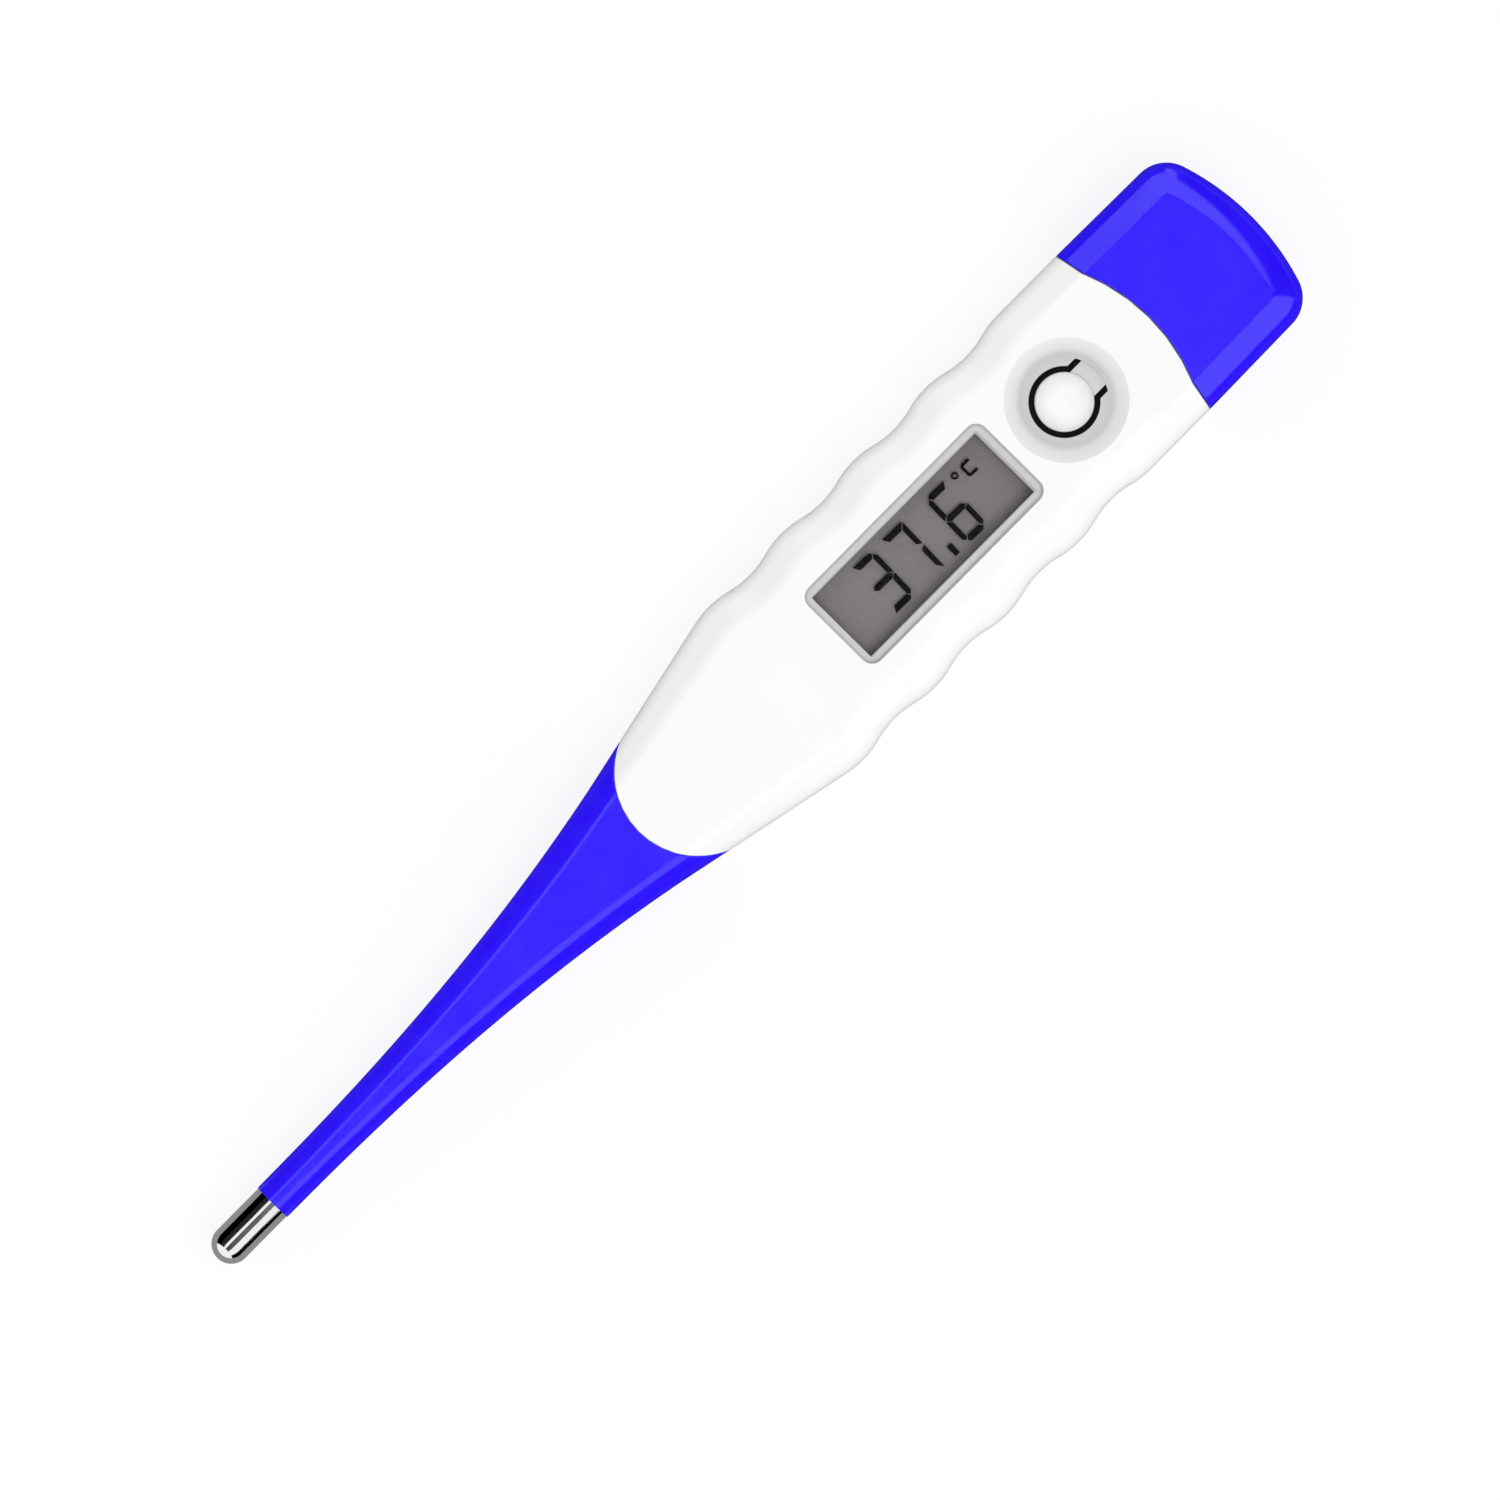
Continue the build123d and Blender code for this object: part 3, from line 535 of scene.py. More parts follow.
        edge_y, edge_z = side - edge, low - edge_cut
        crease_y, crease_z = crease - crease_cut, face - radius
        start_y, start_z = edge_y + edge * np.cos(tilt), edge_z + edge * np.sin(tilt)
        end_y, end_z = crease_y + radius * np.cos(tilt), crease_z + radius * np.sin(tilt)
        kinds = [run == kind for kind in (Run.RIM, Run.SIDE, Run.EDGE, Run.SHOULDER, Run.CREASE)]
        across = np.select(
            kinds,
            [
                side - self.rim_chamfer,
                side,
                edge_y + edge * np.cos(angle),
                start_y + share * (end_y - start_y),
                crease_y + radius * np.cos(angle),
            ],
            crease_y * (1 - share),
        )
        up = np.select(
            kinds,
            [
                0 * side,
                share * edge_z,
                edge_z + edge * np.sin(angle),
                start_z + share * (end_z - start_z),
                crease_z + radius * np.sin(angle),
            ],
            face,
        )
        level = self.mid + up * columns.up
        return np.stack([self.x(station), across * columns.across, level], axis=-1)

    def nose_edge(self, across: np.ndarray) -> np.ndarray:
        """Station of the white nose's edge in plan: a circle, cut square at the butt on each side.

        Args:
            across: distance from the middle.

        Returns:
            The edge's station at that distance.
        """
        reach = np.minimum(across, self.nose_radius)
        curve = self.nose + self.nose_radius - np.sqrt(self.nose_radius**2 - reach**2)
        return np.minimum(curve, self.nose + self.butt_setback)

    def parting(self, across: np.ndarray) -> np.ndarray:
        """Station of the parting with the cover in plan: an arc, and a straight run to each side.

        Args:
            across: distance from the middle.

        Returns:
            The parting's station at that distance.
        """
        reach = np.minimum(across, self.parting_half_chord)
        arc = self.crown - self.parting_radius + np.sqrt(self.parting_radius**2 - reach**2)
        chord_fall = self.parting_radius - math.sqrt(self.parting_radius**2 - self.parting_half_chord**2)
        slope = (self.parting_side_drop - chord_fall) / (self.half_width - self.parting_half_chord)
        return arc - slope * np.maximum(across - self.parting_half_chord, 0)

    def meet(self, columns: Columns, edge: Callable[[np.ndarray], np.ndarray], start: float) -> np.ndarray:
        """Stations at which the columns meet an edge drawn in plan, by repeated substitution.

        Args:
            columns: the columns.
            edge: gives the edge's station at a distance from the middle.
            start: where to begin.

        Returns:
            One station per column.
        """
        station = np.full(len(columns.run), start)
        for _ in range(MEET_PASSES):
            station = edge(np.abs(self.skin(station, columns)[..., 1]))
        return station


# ---- Meshes -----------------------------------------------------------------------------------------
@dataclass
class Patchwork:
    """Points and faces of one piece, gathered patch by patch along shared loops."""

    points: list[np.ndarray] = field(default_factory=list)
    faces: list[list[int]] = field(default_factory=list)
    count: int = 0

    def add(self, grid: np.ndarray) -> np.ndarray:
        """Adds a grid of points.

        Args:
            grid: points in millimetres, of any shape that ends in 3.

        Returns:
            The points' indices, in the grid's own shape.
        """
        flat = grid.reshape(-1, 3)
        index = np.arange(self.count, self.count + len(flat)).reshape(grid.shape[:-1])
        self.points.append(flat)
        self.count += len(flat)
        return index

    def weave(self, index: np.ndarray, close_rows: bool = False, close_columns: bool = False) -> None:
        """Adds a face between each four neighbours of a grid of indices.

        Args:
            index: rows and columns of indices.
            close_rows: whether the last row joins the first.
            close_columns: whether the last column joins the first.
        """
        if close_rows:
            index = np.concatenate([index, index[:1]], axis=0)
        if close_columns:
            index = np.concatenate([index, index[:, :1]], axis=1)
        corners = [index[:-1, :-1], index[1:, :-1], index[1:, 1:], index[:-1, 1:]]
        self.faces += np.stack(corners, axis=-1).reshape(-1, 4).tolist()

    def bridge(self, first: np.ndarray, second: np.ndarray, close: bool = True) -> None:
        """Adds a strip of faces between two loops of indices."""
        self.weave(np.stack([first, second]), close_columns=close)

    def plug(self, loop: np.ndarray) -> None:
        """Adds one flat face round a loop of indices."""
        self.faces.append([int(number) for number in loop])

    def tube(self, loops: np.ndarray) -> None:
        """Adds the wall through a stack of closed loops of points, and a flat face over each end.

        Args:
            loops: the loops' points, one loop to a row.
        """
        index = self.add(loops)
        self.weave(index, close_columns=True)
        self.plug(index[0])
        self.plug(index[-1])

    def mesh(self, name: str) -> bpy.types.Mesh:
        """Makes the mesh in metres, with its faces outwards and its creases sharp.

        Args:
            name: the mesh's name.

        Returns:
            The mesh.
        """
        mesh = bpy.data.meshes.new(name)
        mesh.from_pydata((np.concatenate(self.points) * MM).tolist(), [], self.faces)
        shape = bmesh.new()
        shape.from_mesh(mesh)
        bmesh.ops.recalc_face_normals(shape, faces=shape.faces)
        shape.to_mesh(mesh)
        shape.free()
        polish(mesh)
        return mesh

    def piece(self, name: str) -> bpy.types.Object:
        """Makes the piece and links it to the scene.

        Args:
            name: the piece's name.

        Returns:
            The piece.
        """
        piece = bpy.data.objects.new(name, self.mesh(name))
        bpy.context.scene.collection.objects.link(piece)
        return piece


def polish(mesh: bpy.types.Mesh, angle: float = SHARP_ANGLE) -> None:
    """Shades a mesh smooth, apart from edges that turn by more than an angle."""
    mesh.shade_smooth()
    mesh.set_sharp_from_angle(angle=angle)


def prism(name: str, outline: Loop, bottom: float, top: float) -> bpy.types.Object:
    """Solid under a plan outline.

    Args:
        name: the piece's name.
        outline: plan points in millimetres.
        bottom, top: its levels.

    Returns:
        The piece.
    """
    work = Patchwork()
    work.tube(np.stack([at_level(outline, bottom), at_level(outline, top)]))
    return work.piece(name)


def turned(name: str, profile: np.ndarray, centre: Sequence[float], sides: int = 72) -> bpy.types.Object:
    """Solid of revolution about a vertical axis: each profile point (r, z) sweeps a circle.

    Args:
        name: the piece's name.
        profile: points (radius, level) from one end of the solid to the other.
        centre: plan position of the axis.
        sides: faces round the circle.

    Returns:
        The piece.
    """
    work = Patchwork()
    ring = circle(1.0, sides)
    work.tube(np.stack([at_level(centre + radius * ring, level) for radius, level in profile]))
    return work.piece(name)


def arc(centre: Sequence[float], radius: float, first: float, last: float, steps: int) -> np.ndarray:
    """Points centre + r (cos a, sin a) between two angles in degrees."""
    return np.asarray(centre) + radius * spokes(np.radians(np.linspace(first, last, steps)))


class Cut(Enum):
    """What a tool does to a piece."""

    ADD = "UNION"
    REMOVE = "DIFFERENCE"


def carve(piece: bpy.types.Object, tools: Sequence[tuple[Cut, bpy.types.Object]]) -> None:
    """Adds or removes solids, and leaves a plain mesh.

    Args:
        piece: the piece to change.
        tools: each solid and what it does, in order.  They are used up.
    """
    for cut, tool in tools:
        modifier = piece.modifiers.new(tool.name, "BOOLEAN")
        modifier.operation = cut.value
        modifier.object = tool
        modifier.solver = "EXACT"
        modifier.material_mode = "TRANSFER"
    bake_modifiers(piece)
    for _, tool in tools:
        bpy.data.objects.remove(tool)


def bake_modifiers(piece: bpy.types.Object) -> None:
    """Replaces a piece's mesh with what its modifiers make of it.

    Args:
        piece: the piece.
    """
    graph = bpy.context.evaluated_depsgraph_get()
    mesh = bpy.data.meshes.new_from_object(piece.evaluated_get(graph))
    piece.modifiers.clear()
    piece.data = mesh
    mesh.name = piece.name
    polish(mesh)


# ---- Finishes ---------------------------------------------------------------------------------------
def dial(node: bpy.types.Node, values: dict[str | int, object]) -> None:
    """Sets the values of a node's inputs."""
    for name, value in values.items():
        node.inputs[name].default_value = value


class Tree:
    """A node tree, with short ways to add and to join nodes."""

    def __init__(self, tree: bpy.types.NodeTree) -> None:
        """Takes up a tree."""
        self.data = tree

    def node(
        self, kind: str, inputs: Optional[dict[str | int, object]] = None, **values: object
    ) -> bpy.types.Node:
        """Adds a node, and sets its properties and then the values of its inputs.

        Args:
            kind: the node's type.
            inputs: values by the input's name or number.
            values: values by property.

        Returns:
            The node.
        """
        node = self.data.nodes.new(kind)
        for name, value in values.items():
            setattr(node, name, value)
        dial(node, inputs or {})
        return node

    def link(self, source: bpy.types.NodeSocket, target: bpy.types.NodeSocket) -> None:
        """Joins two sockets."""
        self.data.links.new(source, target)


class Graph(Tree):
    """A material's node tree, with the few nodes that the finishes share."""

    def __init__(self, name: str) -> None:
        """Starts a material with one Principled shader.

        Args:
            name: the material's name.
        """
        self.material = bpy.data.materials.new(name)
        self.material.use_nodes = True
        super().__init__(self.material.node_tree)
        self.shader = self.data.nodes["Principled BSDF"]
        self.place = self.node("ShaderNodeTexCoord").outputs["Object"]

    def noise(
        self, size: float, detail: float = 3.0, stretch: Sequence[float] = (1, 1, 1)
    ) -> bpy.types.NodeSocket:
        """Noise whose features are about a size across.

        Args:
            size: feature size in millimetres.
            detail: octaves of finer noise.
            stretch: how far the pattern is drawn out along X, Y and Z.

        Returns:
            The noise value's socket.
        """
        mapping = self.node("ShaderNodeMapping", {"Scale": [1 / (size * MM * factor) for factor in stretch]})
        self.link(self.place, mapping.inputs["Vector"])
        noise = self.node("ShaderNodeTexNoise", {"Scale": 1.0, "Detail": detail})
        self.link(mapping.outputs["Vector"], noise.inputs["Vector"])
        return noise.outputs["Fac"]

    def remap(
        self, value: bpy.types.NodeSocket, source: Sequence[float], target: Sequence[float]
    ) -> bpy.types.NodeSocket:
        """Maps a range of a value to another range, and holds it at both ends.

        Args:
            value: the value's socket.
            source: first and last value.
            target: what they become.

        Returns:
            The mapped value's socket.
        """
        names = ("From Min", "From Max", "To Min", "To Max")
        node = self.node("ShaderNodeMapRange", dict(zip(names, (*source, *target))))
        self.link(value, node.inputs["Value"])
        return node.outputs["Result"]

    def distance(self, steps: Sequence[tuple[str, Optional[Sequence[float]]]]) -> bpy.types.NodeSocket:
        """Length of a point's place after a chain of vector operations.

        Args:
            steps: each operation, with its second operand or None.

        Returns:
            The length's socket.
        """
        socket = self.place
        for operation, operand in steps:
            inputs = {} if operand is None else {1: operand}
            step = self.node("ShaderNodeVectorMath", inputs, operation=operation)
            self.link(socket, step.inputs[0])
            socket = step.outputs["Vector"]
        length = self.node("ShaderNodeVectorMath", operation="LENGTH")
        self.link(socket, length.inputs[0])
        return length.outputs["Value"]

    def mix(self, share: bpy.types.NodeSocket, first: Colour, second: Colour) -> bpy.types.NodeSocket:
        """A colour between two, by a share.

        Args:
            share: the share's socket.
            first, second: the colours at share 0 and 1.

        Returns:
            The colour's socket.
        """
        node = self.node("ShaderNodeMix", {"A": (*first, 1), "B": (*second, 1)}, data_type="RGBA")
        self.link(share, node.inputs["Factor"])
        return node.outputs["Result"]

    def tint(self, factor: bpy.types.NodeSocket) -> None:
        """Multiplies the base colour by a factor.

        Args:
            factor: the factor's socket.
        """
        base = self.shader.inputs["Base Color"]
        product = self.node("ShaderNodeMix", {"Factor": 1.0}, data_type="RGBA", blend_type="MULTIPLY")
        self.link(base.links[0].from_socket, product.inputs["A"])
        self.link(factor, product.inputs["B"])
        self.link(product.outputs["Result"], base)

    def relief(self, value: bpy.types.NodeSocket, depth: float, edge: float) -> None:
        """Gives the surface a relief and softened edges.

        Args:
            value: the relief's height from 0 to 1.
            depth: its depth in millimetres.
            edge: radius in millimetres to which sharp edges are shaded, or 0.
        """
        bump = self.node("ShaderNodeBump", {"Distance": depth * MM})
        self.link(value, bump.inputs["Height"])
        if edge > 0:
            bevel = self.node("ShaderNodeBevel", {"Radius": edge * MM}, samples=BEVEL_SAMPLES)
            self.link(bevel.outputs["Normal"], bump.inputs["Normal"])
        self.link(bump.outputs["Normal"], self.shader.inputs["Normal"])


@dataclass(frozen=True)
class Finish:
    """A finish: base colour with slow mottling, roughness with finer variation, and a fine grain."""

    slot: str
    colour: Colour
    roughness: float
    mottle: float = 0.03
    mottle_size: float = 9.0
    unevenness: float = 0.04
    grain: float = 0.002
    grain_size: float = 0.25
    edge: float = 0.12
    specular: float = 0.5

    def constants(self) -> dict[str, float]:
        """The shader's inputs that are the same all over."""
        return {"Specular IOR Level": self.specular}

    def wear(self, graph: Graph) -> bpy.types.NodeSocket:
        """The noise that varies the roughness."""
        return graph.noise(self.mottle_size / 4)

    def texture(self, graph: Graph) -> bpy.types.NodeSocket:
        """The noise that raises the grain."""
        return graph.noise(self.grain_size, 2.0)

    def graph(self) -> Graph:
        """Builds the shader: its constants, and then colour, roughness and relief.

        Returns:
            The material's tree.
        """
        graph = Graph(self.slot)
        shader = graph.shader
        dial(shader, self.constants())
        darker = tuple(channel * (1 - self.mottle) for channel in self.colour)
        lighter = tuple(min(1.0, channel * (1 + self.mottle)) for channel in self.colour)
        share = graph.remap(graph.noise(self.mottle_size), NOISE_RANGE, (0, 1))
        graph.link(graph.mix(share, darker, lighter), shader.inputs["Base Color"])
        least = max(LEAST_ROUGHNESS, self.roughness - self.unevenness)
        most = min(1.0, self.roughness + self.unevenness)
        graph.link(graph.remap(self.wear(graph), NOISE_RANGE, (least, most)), shader.inputs["Roughness"])
        graph.relief(self.texture(graph), self.grain, self.edge)
        return graph

    def material(self) -> bpy.types.Material:
        """Makes the material."""
        return self.graph().material


@dataclass(frozen=True)
class Rubber(Finish):
    """Soft moulded rubber, with a velvety sheen."""

    sheen: float = 0.1
    sheen_roughness: float = 0.5

    def constants(self) -> dict[str, float]:
        """Adds the sheen."""
        sheen = {"Sheen Weight": self.sheen, "Sheen Roughness": self.sheen_roughness}
        return super().constants() | sheen


@dataclass(frozen=True)
class Gloss(Finish):
    """Polished moulding: a clear skin over the colour."""

    coat: float = 0.5
    coat_roughness: float = 0.08

    def constants(self) -> dict[str, float]:
        """Adds the clear skin."""
        return super().constants() | {"Coat Weight": self.coat, "Coat Roughness": self.coat_roughness}


@dataclass(frozen=True)
class Metal(Finish):
    """Bare or plated metal, with drawing marks along one axis."""

    stretch: tuple[float, float, float] = (12, 1, 1)
    mark_size: float = 0.12

    def constants(self) -> dict[str, float]:
        """Turns the shader metallic."""
        return super().constants() | {"Metallic": 1.0}

    def wear(self, graph: Graph) -> bpy.types.NodeSocket:
        """The drawing marks."""
        return graph.noise(self.mark_size, 4.0, self.stretch)

    def texture(self, graph: Graph) -> bpy.types.NodeSocket:
        """The drawing marks again, as a relief."""
        return self.wear(graph)


@dataclass(frozen=True)
class SatinWithPaintedShade(Finish):
    """Fine-blasted moulding with painted shade: its tone changes with the distance from an upright axis,
    darker where a bowl or dome is shaded.
    """

    centre: tuple[float, float] = (0.0, 0.0)
    radii: tuple[float, ...] = (0.0, 1.0)
    painted_shade_tones: tuple[float, ...] = (1.0, 1.0)

    def material(self) -> bpy.types.Material:
        """Multiplies the colour by a painted shade tone, read from the distance in plan to the axis.

        Returns:
            The material.
        """
        graph = self.graph()
        steps = (("SUBTRACT", (self.centre[0] * MM, self.centre[1] * MM, 0)), ("MULTIPLY", (1, 1, 0)))
        first, last = self.radii[0], self.radii[-1]
        share = graph.remap(graph.distance(steps), (first * MM, last * MM), (0, 1))
        ramp = graph.node("ShaderNodeValToRGB")
        stops = ramp.color_ramp.elements
        while len(stops) < len(self.radii):
            stops.new(0.5)
        for stop, radius, tone in zip(stops, self.radii, self.painted_shade_tones):
            stop.position = (radius - first) / (last - first)
            stop.color = (tone, tone, tone, 1)
        graph.link(share, ramp.inputs["Fac"])
        graph.tint(ramp.outputs["Color"])
        return graph.material


@dataclass(frozen=True)
class FrameWithPaintedShade(Finish):
    """Thin adhesive frame round an opening, with painted shade along its outer and its inner edge, where the
    pocket's wall and the opening's edge shade it.
    """

    middle: tuple[float, float] = (0.0, 0.0)
    outer: tuple[float, float] = (1.0, 1.0)
    inner: tuple[float, float] = (1.0, 1.0)
    corner: float = 1.0
    line: float = 0.14
    tone: float = 0.55

    def beyond(self, graph: Graph, half: Sequence[float]) -> bpy.types.NodeSocket:
        """Distance in plan to a rectangle about the middle, 0 inside it.

        Args:
            graph: the tree to build in.
            half: half the rectangle's length and width.

        Returns:
            The distance's socket.
        """
        steps = (
            ("SUBTRACT", (self.middle[0] * MM, self.middle[1] * MM, 0)),
            ("ABSOLUTE", None),
            ("SUBTRACT", (half[0] * MM, half[1] * MM, 1)),
            ("MAXIMUM", (0, 0, 0)),
        )
        return graph.distance(steps)

    def material(self) -> bpy.types.Material:
        """Multiplies the colour by a painted shade that falls within a line's width of either edge.

        Returns:
            The material.
        """
        graph = self.graph()
        core = (self.outer[0] - self.corner, self.outer[1] - self.corner)
        edges = (
            (core, self.corner - self.line, self.corner, 1.0, self.tone),
            (self.inner, 0.0, self.line, (1 + self.tone) / 2, 1.0),
        )
        for half, first, last, start, end in edges:
            graph.tint(graph.remap(self.beyond(graph, half), (first * MM, last * MM), (start, end)))
        return graph.material


@dataclass(frozen=True)
class Glass(Finish):
    """Solid clear plastic, seen through by refraction."""

    ior: float = 1.2

    def constants(self) -> dict[str, float]:
        """Makes the body of the plastic clear."""
        return super().constants() | {"Transmission Weight": 1.0, "IOR": self.ior}


@dataclass(frozen=True)
class Clear(Finish):
    """Thin clear sheet, seen through by its opacity."""

    opacity: float = 0.1

    def constants(self) -> dict[str, float]:
        """Makes the sheet see-through."""
        return super().constants() | {"Alpha": self.opacity}


DISH_SHADED_FINISH = "dish_satin"
KEY_SHADED_FINISH = "key_gloss"
PRINT_FINISH = "display_black"
BLUE = (0.022, 0.002, 0.97)
WHITE = (0.9, 0.9, 0.905)
FINISHES: tuple[Finish, ...] = (
    Metal("stainless_steel", (0.86, 0.86, 0.865), 0.06, grain=0.0004, unevenness=0.03, edge=0.05),
    Finish("bead_glass", (0.25, 0.14, 0.08), 0.15),
    Finish("epoxy", (0.42, 0.43, 0.45), 0.35, grain=0.01, grain_size=0.2),
    Finish("natural_plastic", (0.76, 0.75, 0.70), 0.42, grain=0.004, grain_size=0.12),
    Rubber("blue_rubber", BLUE, 0.17, mottle=0.03, grain=0.0012, grain_size=0.15, specular=0.7, sheen=0.0),
    Gloss("blue_plastic", BLUE, 0.16, mottle=0.02, grain=0.0005, coat=0.1, specular=0.7),
    Finish("wire_enamel", (0.45, 0.12, 0.04), 0.22),
    Gloss("white_plastic", WHITE, 0.32, mottle=0.006, grain=0.0008, grain_size=0.3, coat=0.25),
    # Dish: painted shade, a darker ring where the bowl's wall is shaded.
    SatinWithPaintedShade(
        DISH_SHADED_FINISH,
        WHITE,
        0.42,
        mottle=0.006,
        grain=0.002,
        centre=(42.65, 0.0),
        radii=(3.0, 3.6, 4.2, 4.7, 5.7),
        painted_shade_tones=(0.68, 0.62, 0.595, 0.77, 0.9),
    ),
    # Key dome: painted shade, darker towards the rim where the dome turns away from the light.
    SatinWithPaintedShade(
        KEY_SHADED_FINISH,
        WHITE,
        0.32,
        mottle=0.03,
        mottle_size=2.5,
        grain=0.0008,
        centre=(42.41, 0.0),
        radii=(0.0, 1.3, 2.1, 2.5, 2.7),
        painted_shade_tones=(1.0, 0.97, 0.88, 0.8, 0.7),
    ),
    Glass(
        "window_clear",
        (0.98, 0.98, 0.98),
        0.0,
        mottle=0.0,
        unevenness=0.0,
        grain=0.0,
        edge=0.0,
        specular=0.05,
    ),
    # Gasket: painted shade lines along the pocket's wall and along the display opening's edge.
    FrameWithPaintedShade(
        "adhesive_grey",
        srgb(206, 206, 206),
        0.5,
        mottle=0.03,
        mottle_size=0.4,
        edge=0.0,
        middle=(24.45, 0.0),
        outer=(11.25, 4.55),
        inner=(10.45, 3.75),
        corner=1.1,
        line=0.2,
        tone=0.42,
    ),
    Clear("polarizer_film", (0.02, 0.02, 0.02), 0.2, mottle=0.02, grain=0.0003, specular=0.2, opacity=0.03),
    Clear("display_glass", (0.02, 0.02, 0.02), 0.05, mottle=0.01, grain=0.0002, specular=0.2, opacity=0.015),
    Finish("reflector_film", (0.325, 0.3, 0.306), 0.45, mottle=0.02, grain=0.003, grain_size=0.08),
    Finish(PRINT_FINISH, (0.002, 0.002, 0.002), 0.5, grain=0.0, edge=0.0, specular=0.1),
    Finish("zebra_elastomer", (0.10, 0.10, 0.11), 0.6),
    Finish("board_green", (0.02, 0.16, 0.06), 0.35, mottle=0.08, mottle_size=3.0),
    Finish("chip_resin", (0.012, 0.012, 0.014), 0.33, grain=0.01, grain_size=0.6),
    Finish("ceramic_chips", (0.32, 0.24, 0.17), 0.45, mottle=0.15, mottle_size=1.0),
    Metal("brass_sheet", (0.78, 0.55, 0.22), 0.22, grain=0.001),
    Finish("piezo_ceramic", (0.74, 0.72, 0.66), 0.35, mottle=0.06, mottle_size=2.0),
    Metal("contact_metal", (0.72, 0.68, 0.60), 0.22, grain=0.001),
    Rubber("black_silicone", (0.004, 0.004, 0.004), 0.5, grain=0.003, specular=0.25, sheen=0.0),
    Rubber("carbon_rubber", (0.02, 0.02, 0.022), 0.6, grain=0.006),
    Metal("battery_steel", (0.70, 0.70, 0.70), 0.22, grain=0.0015, stretch=(14, 1, 1)),
    Finish("cell_seal", (0.05, 0.12, 0.15), 0.5),
)


@dataclass
class Wardrobe:
    """The materials by slot, and what puts them on pieces."""

    materials: dict[str, bpy.types.Material] = field(default_factory=dict)

    @classmethod
    def stocked(cls) -> "Wardrobe":
        """All finishes, made once."""
        return cls({finish.slot: finish.material() for finish in FINISHES})

    def dress(
        self, piece: bpy.types.Object, slot: str, body: Optional[str], *nodes: str
    ) -> bpy.types.Object:
        """Gives a new piece its finish, its body and the CAD nodes that it stands for.

        Args:
            piece: the piece.
            slot: the record's material slot.
            body: the CAD body that it rides on, or None, which leaves it on no body.
            nodes: the CAD nodes that it replaces.

        Returns:
            The piece.
        """
        if not piece.data.materials:
            piece.data.materials.append(self.materials[slot])
        if nodes:
            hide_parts(*nodes)
        if body:
            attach(piece, body)
        LOG.info("%s: %d faces, slot %s", piece.name, len(piece.data.polygons), slot)
        return piece

    def dress_frame(self) -> None:
        """Gives every CAD node the finish of its own slot; clear sheets cast no shadow."""
        slots = {row["node"]: row["material_slot"] for row in frame["record"]["subparts"]}
        clear = {finish.slot for finish in FINISHES if isinstance(finish, Clear)}
        for name, node in frame["nodes"].items():
            node.visible_shadow = slots[name] not in clear
            for holder in node.material_slots:
                holder.material = self.materials[slots[name]]
            LOG.info("%s: CAD node, slot %s", name, slots[name])


@dataclass
class Assembly:
    """A group of pieces that follow one form and are dressed from one wardrobe."""

    form: Form
    wardrobe: Wardrobe

    def build(self) -> None:
        """Builds and dresses the pieces."""
        raise NotImplementedError


